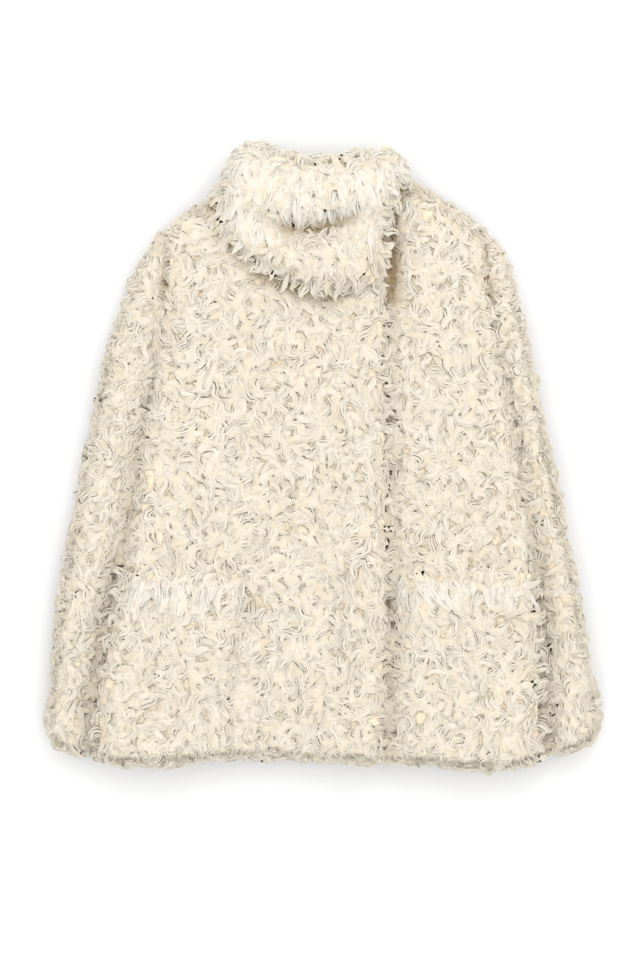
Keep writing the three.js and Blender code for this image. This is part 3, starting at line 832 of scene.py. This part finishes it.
class NodeBench:
    """Puts nodes into a tree and wires them, with named inputs."""

    def __init__(self, tree: bpy.types.NodeTree) -> None:
        """Keeps the tree."""
        self.tree = tree

    def add(self, kind: str, settings: dict | None = None, **inputs: object) -> bpy.types.Node:
        """Adds a node.

        Args:
            kind: The node's type.
            settings: Its properties.
            **inputs: Its inputs, spaces written as underscores: a value, or a socket to link.

        Returns:
            The node.
        """
        node = self.tree.nodes.new(kind)
        for name, value in (settings or {}).items():
            setattr(node, name, value)
        for name, value in inputs.items():
            self.feed(node, name.replace("_", " "), value)
        return node

    def feed(self, node: bpy.types.Node, name: str | int, value: object) -> None:
        """Sets or links one input.

        Args:
            node: The node.
            name: The input's name, or its place.
            value: A value, or a socket to link.
        """
        target = node.inputs[name]
        if isinstance(value, bpy.types.NodeSocket):
            self.tree.links.new(value, target)
        else:
            target.default_value = value

    def math(self, operation: str, *values: object) -> bpy.types.NodeSocket:
        """The result of one sum.

        Args:
            operation: The Math node's operation.
            *values: Its inputs in order.

        Returns:
            The result's socket.
        """
        node = self.add("ShaderNodeMath", {"operation": operation})
        for k, value in enumerate(values):
            self.feed(node, k, value)
        return node.outputs[0]

    def blend(self, share: object, first: object, second: object) -> bpy.types.NodeSocket:
        """A colour between two others.

        Args:
            share: How much of the second.
            first: A colour.
            second: Another.

        Returns:
            The colour's socket.
        """
        node = self.add("ShaderNodeMix", {"data_type": "RGBA"})
        self.feed(node, 0, share)
        self.feed(node, 6, first)
        self.feed(node, 7, second)
        return node.outputs[2]


def tone_and_painted_shade_group() -> bpy.types.NodeTree:
    """The coat's cream, pale at the tips and uneven from lock to lock, with painted shade: darker and
    warmer at the roots, and toward the deep colour in creases and under edges.

    Returns:
        A group that puts out one colour.
    """
    made = group_of(
        "tone_and_painted_shade",
        [
            ("Tip", "NodeSocketColor", (0.9, 0.85, 0.75, 1)),
            ("Root", "NodeSocketColor", (0.6, 0.5, 0.4, 1)),
            ("Shadow Tone", "NodeSocketColor", (0.8, 0.75, 0.65, 1)),
            ("Run", "NodeSocketFloat", 1.0),
            ("Lock", "NodeSocketFloat", 0.5),
            ("Patch Scale", "NodeSocketFloat", 6.0),
            ("Patch Amount", "NodeSocketFloat", 0.3),
            ("Streak", "NodeSocketFloat", 0.5),
            ("Streak Amount", "NodeSocketFloat", 0.5),
            ("Hollow", "NodeSocketFloat", 0.0),
            ("Deep", "NodeSocketColor", (0.6, 0.48, 0.33, 1)),
        ],
        [("Color", "NodeSocketColor")],
    )
    bench = NodeBench(made)
    given, result = made.nodes["Group Input"], made.nodes["Group Output"]
    place = bench.add("ShaderNodeTexCoord")
    patches = bench.add(
        "ShaderNodeTexNoise",
        Vector=place.outputs["Object"],
        Scale=given.outputs["Patch Scale"],
        Detail=3.0,
        Roughness=0.55,
    )
    patch = bench.math("MULTIPLY", patches.outputs["Fac"], given.outputs["Patch Amount"])
    uneven = bench.math("MULTIPLY_ADD", given.outputs["Lock"], 0.5, patch)
    gap = bench.math("SUBTRACT", 1.0, given.outputs["Streak"])
    streaked = bench.math("MULTIPLY_ADD", gap, given.outputs["Streak Amount"], uneven)
    share = bench.add("ShaderNodeClamp", Value=streaked).outputs[0]
    pale = bench.blend(share, given.outputs["Tip"], given.outputs["Shadow Tone"])
    # painted shade: the part of a strand near its root, low in the pile, takes the darker root colour
    grown = bench.math("MULTIPLY_ADD", given.outputs["Run"], 2.2, 0.3)
    grown = bench.add("ShaderNodeClamp", Value=grown).outputs[0]
    lit = bench.blend(grown, given.outputs["Root"], pale)
    # painted shade: darkened toward the deep colour in creases, under edges and low in the pile
    bench.feed(result, "Color", bench.blend(given.outputs["Hollow"], lit, given.outputs["Deep"]))
    return made


def fine_hair_group() -> bpy.types.NodeTree:
    """The many fine hairs that lie side by side in one lock, as streaks along it.

    Returns:
        A group that puts out the streaks' height, from 0 to 1.
    """
    made = group_of(
        "fine_hair",
        [
            ("Chart", "NodeSocketVector", None),
            ("Lock", "NodeSocketFloat", 0.5),
            ("Girth", "NodeSocketFloat", 2.0),
            ("Hairs", "NodeSocketFloat", 2.2),
            ("Waviness", "NodeSocketFloat", 2.2),
        ],
        [("Height", "NodeSocketFloat")],
    )
    bench = NodeBench(made)
    given, result = made.nodes["Group Input"], made.nodes["Group Output"]
    split = bench.add("ShaderNodeSeparateXYZ", Vector=given.outputs["Chart"])
    across = bench.math("MULTIPLY", given.outputs["Girth"], given.outputs["Hairs"])
    place = bench.add(
        "ShaderNodeCombineXYZ",
        X=bench.math("MULTIPLY", split.outputs["X"], across),
        Y=bench.math("MULTIPLY", split.outputs["Y"], given.outputs["Waviness"]),
        Z=bench.math("MULTIPLY", given.outputs["Lock"], 80.0),
    )
    streaks = bench.add(
        "ShaderNodeTexNoise", Vector=place.outputs[0], Scale=1.0, Detail=2.0, Roughness=0.6
    )
    spread = bench.add("ShaderNodeMapRange", Value=streaks.outputs["Fac"])
    bench.feed(spread, "From Min", 0.33)
    bench.feed(spread, "From Max", 0.67)
    bench.feed(result, "Height", spread.outputs[0])
    return made


def new_material(
    name: str, **plain: float
) -> tuple[bpy.types.Material, NodeBench, bpy.types.Node]:
    """A new material on Blender's main shader.

    Args:
        name: The material's name.
        **plain: The shader's constant inputs, spaces written as underscores.

    Returns:
        The material, a bench on its nodes, and the shader.
    """
    made = bpy.data.materials.new(name)
    made.use_nodes = True
    shader = made.node_tree.nodes["Principled BSDF"]
    for label, value in plain.items():
        shader.inputs[label.replace("_", " ")].default_value = value
    return made, NodeBench(made.node_tree), shader


@dataclass(frozen=True)
class PileFinish:
    """The pile's strands: matt cream fibre with a soft nap.

    Attributes:
        name: The material's name.
        tip: Colour at the tips.
        root: Darker, warmer colour near the backing, painted shade low in the pile.
        shade: Colour of the darker locks.
        deep: Painted shade colour, down in the creases, under edges and low in the pile.
        roughness: Plain roughness of the fibre.
        sheen: Strength of the nap's sheen.
        sheer: Share of the light that passes on through a strand.
        streaks: How far the single hairs of a lock differ in colour.
        hairs: Fine hairs to a millimetre of a strand's width.
        inner_glow: Colour that the light takes on as it passes through.
    """

    name: str
    tip: tuple[float, float, float]
    root: tuple[float, float, float]
    shade: tuple[float, float, float]
    deep: tuple[float, float, float] = (0.46, 0.34, 0.19)
    roughness: float = 0.72
    sheen: float = 0.25
    sheer: float = 0.35
    streaks: float = 0.8
    hairs: float = 1.1
    inner_glow: tuple[float, float, float] = (0.90, 0.72, 0.50)

    def material(self, groups: dict[str, bpy.types.NodeTree]) -> bpy.types.Material:
        """Makes the material.

        Args:
            groups: The shared node groups by name.

        Returns:
            The material.
        """
        made, bench, shader = new_material(
            self.name,
            Roughness=self.roughness,
            Sheen_Weight=self.sheen,
            Sheen_Roughness=0.45,
            Specular_IOR_Level=0.25,
        )
        chart = bench.add("ShaderNodeUVMap", {"uv_map": "strand"})
        split = bench.add("ShaderNodeSeparateXYZ", Vector=chart.outputs[0])
        # the painted shade is read from each strand's points and fed to the colour
        tone, painted_shade, girth = (
            bench.add("ShaderNodeAttribute", {"attribute_name": label}).outputs["Fac"]
            for label in ("tone", "painted_shade", "girth")
        )
        streaks = bench.add(
            "ShaderNodeGroup",
            {"node_tree": groups["fine_hair"]},
            Chart=chart.outputs[0],
            Lock=tone,
            Girth=girth,
            Hairs=self.hairs,
        )
        colour = bench.add(
            "ShaderNodeGroup",
            {"node_tree": groups["tone_and_painted_shade"]},
            Tip=(*self.tip, 1),
            Root=(*self.root, 1),
            Shadow_Tone=(*self.shade, 1),
            Run=split.outputs["Y"],
            Lock=tone,
            Streak=streaks.outputs[0],
            Streak_Amount=self.streaks,
            Hollow=painted_shade,
            Deep=(*self.deep, 1),
        )
        bump = bench.add(
            "ShaderNodeBump",
            Strength=0.5,
            Distance=0.4 * MM / self.hairs,
            Height=streaks.outputs[0],
        )
        bench.feed(shader, "Base Color", colour.outputs[0])
        bench.feed(shader, "Normal", bump.outputs[0])
        warmed = bench.blend(0.4, colour.outputs[0], (*self.inner_glow, 1))
        through = bench.add("ShaderNodeBsdfTranslucent", Color=warmed)
        both = bench.add("ShaderNodeMixShader")
        for k, value in enumerate((self.sheer, shader.outputs[0], through.outputs[0])):
            bench.feed(both, k, value)
        bench.feed(made.node_tree.nodes["Material Output"], "Surface", both.outputs[0])
        return made


@dataclass(frozen=True)
class BackingFinish:
    """The knitted backing and the short dense undercoat that hides most of it."""

    name: str = "undercoat"
    # the knit's tufted tone is its own, but both colours are kept darker and warmer than the pile's: painted
    # shade where the backing shows down between the locks
    light: tuple[float, float, float] = (0.80, 0.70, 0.54)
    deep: tuple[float, float, float] = (0.70, 0.56, 0.38)
    roughness: float = 0.9

    def material(self, groups: dict[str, bpy.types.NodeTree]) -> bpy.types.Material:
        """Makes the material.

        Args:
            groups: The shared node groups by name. Not used here.

        Returns:
            The material.
        """
        made, bench, shader = new_material(self.name, Roughness=self.roughness, Sheen_Weight=0.2)
        place = bench.add("ShaderNodeTexCoord")
        tufts = bench.add(
            "ShaderNodeTexNoise",
            Vector=place.outputs["Object"],
            Scale=260.0,
            Detail=4.0,
            Roughness=0.65,
            Distortion=1.4,
        )
        spread = bench.add("ShaderNodeMapRange", Value=tufts.outputs["Fac"])
        bench.feed(spread, "From Min", 0.36)
        bench.feed(spread, "From Max", 0.62)
        colour = bench.blend(spread.outputs[0], (*self.deep, 1), (*self.light, 1))
        bump = bench.add(
            "ShaderNodeBump", Strength=0.8, Distance=2 * MM, Height=tufts.outputs["Fac"]
        )
        bench.feed(shader, "Base Color", colour)
        bench.feed(shader, "Normal", bump.outputs[0])
        return made


CREAM_PILE = PileFinish("cream_pile", (0.96, 0.92, 0.835), (0.87, 0.77, 0.60), (0.85, 0.77, 0.63))
COMBED_PILE = PileFinish(
    "combed_pile", (0.93, 0.895, 0.815), (0.91, 0.86, 0.77), (0.88, 0.83, 0.73), streaks=0.6
)
# a darker copy of the cream for the low undercoat flakes: painted shade where they show between the locks
SHADED_UNDER_PILE = PileFinish(
    "shaded_under_pile", (0.95, 0.91, 0.82), (0.88, 0.79, 0.64), (0.80, 0.71, 0.56), hairs=0.8
)


@dataclass
class Panel:
    """One cut piece of the coat: its backing and the pile on it.

    Attributes:
        node: The solid that it stands for.
        flat: Width and length that the cloth was cut to, but not for the sleeves: see coat_panels. Not used
            here.
        area: The cut's flat area, with the same exception. Not used here.
        held: How it lies. Not used here.
        rests_on: What it lies on. Not used here.
        slot: The material slot, which picks the finish of its pile.
        seed: Start of its random numbers.
        pile_depth: How far the backing lies under the outer surface.
        upper_share: Most of the wall that the backing's upper side is drawn in by.
        lower_share: The same for its underside.
        most_triangles: Most triangles in one piece of pile.
        lean: How far the pile's run leans to one side, in radians.
        laps: Whether the pile of its inner edges lies over the next panel.
        outline_band: How near the coat's outline an edge counts as an outer one.
        try_gap: About how far apart the places are that are tried for a root.
        cell: Size of the cells that the roots are sorted into.
        under_top: How high over the floor the locks under the coat start at most.
        root_depth: How far the roots on the sides lie in the pile.
    """

    node: str
    flat: tuple[float, float]
    area: float
    seed: int
    held: str = "laid"
    rests_on: tuple[str, ...] = ()
    slot: str = "pile"
    pile_depth: float = 3.6 * MM
    upper_share: float = 0.5
    lower_share: float = 0.2
    most_triangles: int = 190_000
    lean: float = 0.0
    laps: bool = True
    outline_band: float = 12 * MM
    try_gap: float = 2.4 * MM
    cell: float = 8 * MM
    under_top: float = 6 * MM
    root_depth: float = 2.0 * MM

    def region(self, point: Vector, normal: Vector) -> Region:
        """How the pile is dressed here.

        Args:
            point: A place on the solid.
            normal: Its outward direction.

        Returns:
            The region.
        """
        if normal.z < -0.5:
            return Region.UNDER
        return Region.EDGE if normal.z < 0.3 else self.top_region(point)

    def top_region(self, point: Vector) -> Region:
        """The region of a place that faces up."""
        return Region.BODY

    def heading(self, point: np.ndarray) -> float:
        """Which way the pile runs at a place, as an angle from X."""
        return -math.pi / 2 + self.lean + 0.25 * math.sin(9 * point[0]) * math.cos(7 * point[1])

    def cloth(self, finish: bpy.types.Material) -> bpy.types.Object:
        """Makes the backing: the solid's own form, drawn in by the depth of the pile.

        Args:
            finish: The backing's material.

        Returns:
            The backing.
        """
        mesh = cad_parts[self.node].data.copy()
        mesh.name = f"{self.node}_cloth"
        work = bmesh.new()
        work.from_mesh(mesh)
        bmesh.ops.remove_doubles(work, verts=work.verts, dist=0.02 * MM)
        work.normal_update()
        tree = BVHTree.FromBMesh(work)
        moved = []
        for vertex in work.verts:
            inward = -vertex.normal
            hit = tree.ray_cast(vertex.co + inward * 0.05 * MM, inward)
            wall = hit[3] if hit[0] is not None else 2 * MM
            share = self.upper_share if vertex.normal.z > -0.3 else self.lower_share
            depth = min(self.pile_depth, share * wall)
            place = vertex.co + inward * depth
            if vertex.normal.z > 0.4:
                x, y = np.array([place.x]), np.array([place.y])
                lowered = sum(float(crease.at(x, y)[0]) for crease in CREASES)
                place.z -= min(max(lowered, -3 * MM), 0.3 * (wall - depth))
            moved.append(place)
        for vertex, place in zip(work.verts, moved):
            vertex.co = place
        work.to_mesh(mesh)
        work.free()
        made = linked(bpy.data.objects.new(mesh.name, mesh))
        rounding = made.modifiers.new("rounding", "SUBSURF")
        rounding.levels = rounding.render_levels = 1
        mesh.shade_smooth()
        mesh.materials.clear()
        mesh.materials.append(finish)
        return made

    def roots(self, relief: Relief, layer: int, rng: np.random.Generator) -> dict[Region, Roots]:
        """Spreads one layer's roots over what shows of the solid.

        Args:
            relief: The coat's surface, which tells what is covered.
            layer: Place of the locks' style in their region's styles.
            rng: The panel's random numbers.

        Returns:
            The roots of each region.
        """
        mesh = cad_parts[self.node].data
        mesh.calc_loop_triangles()
        corners = np.array(
            [[mesh.vertices[v].co for v in t.vertices] for t in mesh.loop_triangles], float
        )
        cross = np.cross(corners[:, 1] - corners[:, 0], corners[:, 2] - corners[:, 0])
        double = np.linalg.norm(cross, axis=1)
        tries = int(double.sum() / 2 / self.try_gap**2)
        chosen = rng.choice(len(corners), tries, p=double / double.sum())
        u, v = rng.uniform(0, 1, tries), rng.uniform(0, 1, tries)
        flip = u + v > 1
        u, v = np.where(flip, 1 - u, u), np.where(flip, 1 - v, v)
        a, b, c = corners[chosen, 0], corners[chosen, 1], corners[chosen, 2]
        points = a + (b - a) * u[:, None] + (c - a) * v[:, None]
        normals = cross[chosen] / double[chosen, None]
        taken: dict[tuple, list] = {}
        found: dict[Region, list] = {region: [] for region in Region}
        for point, normal in zip(points, normals):
            place, out = Vector(point), Vector(normal)
            region = self.region(place, out)
            inner = relief.read(relief.away, point[0], point[1]) < -self.outline_band
            if region is not Region.UNDER and inner and self.laps and out.z < 0.7:
                region = Region.LAP
            if layer == 0 and len(STYLES[region]) > 1 and out.z < 0.75:
                continue
            if layer >= len(STYLES[region]) or region is Region.UNDER and place.z > self.under_top:
                continue
            gap = STYLES[region][layer].spacing * (1.0 if inner else 0.8) * MM
            cell = tuple(int(math.floor(k / self.cell)) for k in point)
            if self._crowded(taken, cell, point, gap):
                continue
            if region is not Region.UNDER and not relief.shows(place, out):
                continue
            taken.setdefault(cell, []).append(point)
            found[region].append((point, out))
        return {
            region: self._aimed(kept, region, relief, rng) for region, kept in found.items() if kept
        }

    def _crowded(self, taken: dict, cell: tuple, point: np.ndarray, gap: float) -> bool:
        """Whether a root would lie too near one that is already there.

        Args:
            taken: Roots by cell.
            cell: The new root's cell.
            point: The new root.
            gap: The distance that it needs.

        Returns:
            True if it is too near.
        """
        steps = range(-3, 4) if gap > 2 * self.cell else (-1, 0, 1)
        return any(
            math.dist(other, point) < gap
            for i in steps
            for j in steps
            for k in (-1, 0, 1)
            for other in taken.get((cell[0] + i, cell[1] + j, cell[2] + k), ())
        )

    def _aim(
        self,
        point: np.ndarray,
        out: Vector,
        region: Region,
        relief: Relief,
        rng: np.random.Generator,
    ) -> float:
        """One lock's heading, which turns outward near an edge.

        Args:
            point: Its root.
            out: The solid's outward direction there.
            region: How it is dressed.
            relief: The coat's surface.
            rng: The panel's random numbers.

        Returns:
            The heading, as an angle from X.
        """
        flow = self.heading(point)
        run = Vector((math.cos(flow), math.sin(flow)))
        level = Vector((out.x, out.y))
        if region in (Region.EDGE, Region.LAP):
            level.normalize()
            along = Vector((-level.y, level.x)) * float(rng.uniform(-0.9, 0.9))
            if region is Region.EDGE:
                run = 0.25 * run + 1.3 * along + 0.3 * level
            else:
                run = 0.6 * run + along + level
        else:
            near = math.exp(float(relief.read(relief.away, point[0], point[1])) / (11 * MM))
            slope = Vector([float(relief.read(grid, *point[:2])) for grid in relief.outward])
            along = Vector((-slope.y, slope.x)) * float(rng.uniform(-1.0, 1.0))
            run = (1 - near) * run + near * (0.9 * slope + along)
        return math.atan2(run.y, run.x)

    def _aimed(
        self, kept: list, region: Region, relief: Relief, rng: np.random.Generator
    ) -> Roots:
        """Roots with their headings.

        Args:
            kept: Place and outward direction of each root.
            region: How they are dressed.
            relief: The coat's surface.
            rng: The panel's random numbers.

        Returns:
            The roots.
        """
        points = np.array([point for point, _ in kept])
        hangs = region in (Region.EDGE, Region.UNDER)
        aims = [self._aim(point, out, region, relief, rng) for point, out in kept]
        if hangs:
            points = points - np.array([out for _, out in kept]) * self.root_depth
            points[:, 2] = np.maximum(points[:, 2], 1.0 * MM)
        return Roots(points, np.full(len(kept), hangs), np.array(aims))

    def fur(
        self, barber: Barber, finishes: dict[str, bpy.types.Material]
    ) -> list[bpy.types.Object]:
        """Grows the pile.

        Args:
            barber: What grows and lays the strands.
            finishes: The coat's materials.

        Returns:
            The fur's pieces.
        """
        rng = np.random.default_rng(self.seed)
        pieces = []
        for layer, kind in enumerate(("undercoat", "")):
            for region, roots in self.roots(barber.relief, layer, rng).items():
                strands = barber.grow(roots, STYLES[region][layer], rng)
                alone = len(STYLES[region]) == 1
                name = f"{self.node}_{region.value}_{'locks' if alone or not kind else kind}"
                combed = region in (Region.BAND, Region.ROLL)
                slot = "combed_pile" if combed else self.slot
                # the undercoat layer takes the darker copy of the cream, painted shade between the locks
                finish = SHADED_UNDER_PILE.name if kind and not alone else FINISH_OF[slot]
                pieces += self._pieces(name, strands, finishes[finish])
        return pieces

    def _pieces(
        self, name: str, strands: StrandMesh, finish: bpy.types.Material
    ) -> list[bpy.types.Object]:
        """Makes strands into as few pieces as the limit on triangles allows.

        Args:
            name: The pieces' name.
            strands: All the strands.
            finish: Their material.

        Returns:
            The pieces.
        """
        total = len(strands.tone)
        parts = math.ceil(total * strands.triangles_each() / self.most_triangles)
        made = []
        for k in range(parts):
            part = strands.part(k * total // parts, (k + 1) * total // parts)
            piece = part.build(name if parts == 1 else f"{name}_{k + 1}")
            piece.data.materials.append(finish)
            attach(piece, "root")
            made.append(piece)
        return made

    def dress(
        self, cloth: bpy.types.Object, barber: Barber, finishes: dict[str, bpy.types.Material]
    ) -> int:
        """Args:
            cloth: The panel's backing.
            barber: What grows and lays the strands.
            finishes: The coat's materials.

        Returns:
            How many triangles the panel has.
        """
        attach(cloth, "root")
        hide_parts(self.node)
        locks = self.fur(barber, finishes)
        triangles = 6 * len(cloth.data.polygons)  # each is rounded into three quads
        for piece in locks:
            faces = len(piece.data.polygons)
            count = len(piece.data.loops) - 2 * faces
            triangles += count
            LOG.info("  %s: %d triangles", piece.name, count)
        surface = sum(polygon.area for polygon in cloth.data.polygons)
        LOG.info("%s: %d triangles, half its cloth is %.3f", self.node, triangles, surface / 2)
        return triangles


FINISH_OF = {"pile": "cream_pile", "combed_pile": "combed_pile"}


@dataclass
class Sleeve(Panel):
    """A sleeve, a flattened tube whose pile runs down to the cuff."""

    def top_region(self, point: Vector) -> Region:
        """Sleeve curls all over."""
        return Region.SLEEVE


@dataclass
class Pocket(Panel):
    """A patch pocket with a combed band along its top."""

    band_foot: float = -159 * MM
    upper_share: float = 0.6
    lower_share: float = 0.05

    def top_region(self, point: Vector) -> Region:
        """Combed on the band and curly below it."""
        return Region.BAND if point.y > self.band_foot else Region.BODY


@dataclass
class Collar(Panel):
    """The folded collar: a combed roll along the top and a curly lip that hangs from the crease."""

    laps: bool = False
    crease_y: float = 262 * MM
    centre_x: float = -10 * MM

    def top_region(self, point: Vector) -> Region:
        """Combed above the crease and curly below it."""
        return Region.ROLL if point.y > self.crease_y else Region.LIP

    def heading(self, point: np.ndarray) -> float:
        """The lip's pile runs down and outward to its free edge."""
        return -math.pi / 2 + 2.2 * (point[0] - self.centre_x)


@dataclass(frozen=True)
class Studio:
    """The floor, the light and the camera over the coat.

    Attributes:
        camera_height: Height of the camera over the coat's middle plane.
        coat_plane: Height of the plane on which a photo pixel has its size.
        centre: The place on the floor under the photo's middle.
    """

    camera_height: float = 2.4
    coat_plane: float = 15 * MM
    centre: tuple[float, float] = (-4.1 * MM, -26.6 * MM)
    sensor: float = 36.0
    floor_size: float = 6.0
    key_power: float = 11.5
    sky: float = 1.6

    def build(self) -> None:
        """Makes the floor, the lights and the camera."""
        self._camera()
        self._floor()
        self._lights()
        scene = bpy.context.scene
        scene.view_settings.view_transform = "Standard"
        scene.cycles.max_bounces = 16
        scene.cycles.diffuse_bounces = 12

    def _camera(self) -> None:
        """Hangs the camera over the coat, looking straight down."""
        data = bpy.data.cameras.new("camera")
        data.sensor_width = self.sensor
        data.lens = self.sensor * self.camera_height / (PHOTO_SIZE[1] * PIXEL)
        camera = linked(bpy.data.objects.new("camera", data))
        camera.location = (*self.centre, self.camera_height + self.coat_plane)
        bpy.context.scene.camera = camera

    def _floor(self) -> None:
        """Lays a plain white floor under the coat."""
        half = self.floor_size / 2
        mesh = bpy.data.meshes.new("floor")
        ring = [(-half, -half, 0), (half, -half, 0), (half, half, 0), (-half, half, 0)]
        mesh.from_pydata(ring, [], [(0, 1, 2, 3)])
        floor = linked(bpy.data.objects.new("floor", mesh))
        floor.location.z = -0.2 * MM
        material, _, shader = new_material("white_floor", Roughness=0.9, Specular_IOR_Level=0.1)
        shader.inputs["Base Color"].default_value = (0.70, 0.70, 0.70, 1)
        mesh.materials.append(material)

    def _lights(self) -> None:
        """Hangs one large soft lamp toward the collar, and lights the room evenly."""
        world = bpy.data.worlds.new("room")
        world.use_nodes = True
        sky = world.node_tree.nodes["Background"]
        sky.inputs["Color"].default_value = (1.0, 1.0, 1.0, 1)
        sky.inputs["Strength"].default_value = self.sky
        bpy.context.scene.world = world
        data = bpy.data.lights.new("key", "AREA")
        data.shape = "DISK"
        data.size = 1.1
        data.energy = self.key_power
        data.color = (1.0, 0.985, 0.96)
        key = linked(bpy.data.objects.new("key", data))
        key.location = (0.35, 1.5, 1.7)
        key.rotation_mode = "QUATERNION"
        key.rotation_quaternion = (-key.location).to_track_quat("-Z", "Y")


def coat_panels() -> list[Panel]:
    """The coat's cut pieces, from the ground up."""
    # A closed backing counts for half its surface, so the cut all round, about 300 x 620 mm, didn't pass,
    # and these were fitted to the mesh. The sleeves' sizes are not their cut, about 300 x 620 mm all round:
    # these were fitted to the mesh.
    return [
        Panel("back", (0.54, 0.70), 0.33, 11, rests_on=("floor",)),
        Sleeve("sleeve_right", (0.16, 0.62), 0.09, 12, rests_on=("floor",), lean=-0.18),
        Sleeve("sleeve_left", (0.14, 0.62), 0.08, 13, rests_on=("floor",), lean=0.18),
        Panel("front_left", (0.26, 0.70), 0.15, 14, rests_on=("back", "sleeve_left"), lean=0.06),
        Panel("front_right", (0.36, 0.70), 0.21, 15, rests_on=("back", "front_left"), lean=-0.04),
        Pocket("pocket_right", (0.18, 0.24), 0.04, 16, rests_on=("front_right",), lean=-0.06),
        Pocket("pocket_left", (0.18, 0.24), 0.04, 17, rests_on=("front_left",), lean=0.06),
        Collar("collar", (0.24, 0.34), 0.05, 18, held="folded", rests_on=("front_right",)),
    ]


def main() -> None:
    """Builds the studio and the coat, panel by panel."""
    logging.basicConfig(level=logging.INFO, format="%(message)s")
    Studio().build()
    groups = {"tone_and_painted_shade": tone_and_painted_shade_group(), "fine_hair": fine_hair_group()}
    finishes = {
        finish.name: finish.material(groups)
        for finish in (CREAM_PILE, COMBED_PILE, SHADED_UNDER_PILE, BackingFinish())
    }
    barber = Barber(Relief())
    panels = coat_panels()
    cloths = [panel.cloth(finishes["undercoat"]) for panel in panels]
    barber.relief.lay_bed(cloths)
    total = sum(panel.dress(cloth, barber, finishes) for panel, cloth in zip(panels, cloths))
    LOG.info("the coat has %d triangles", total)


if __name__ == "__main__":
    main()
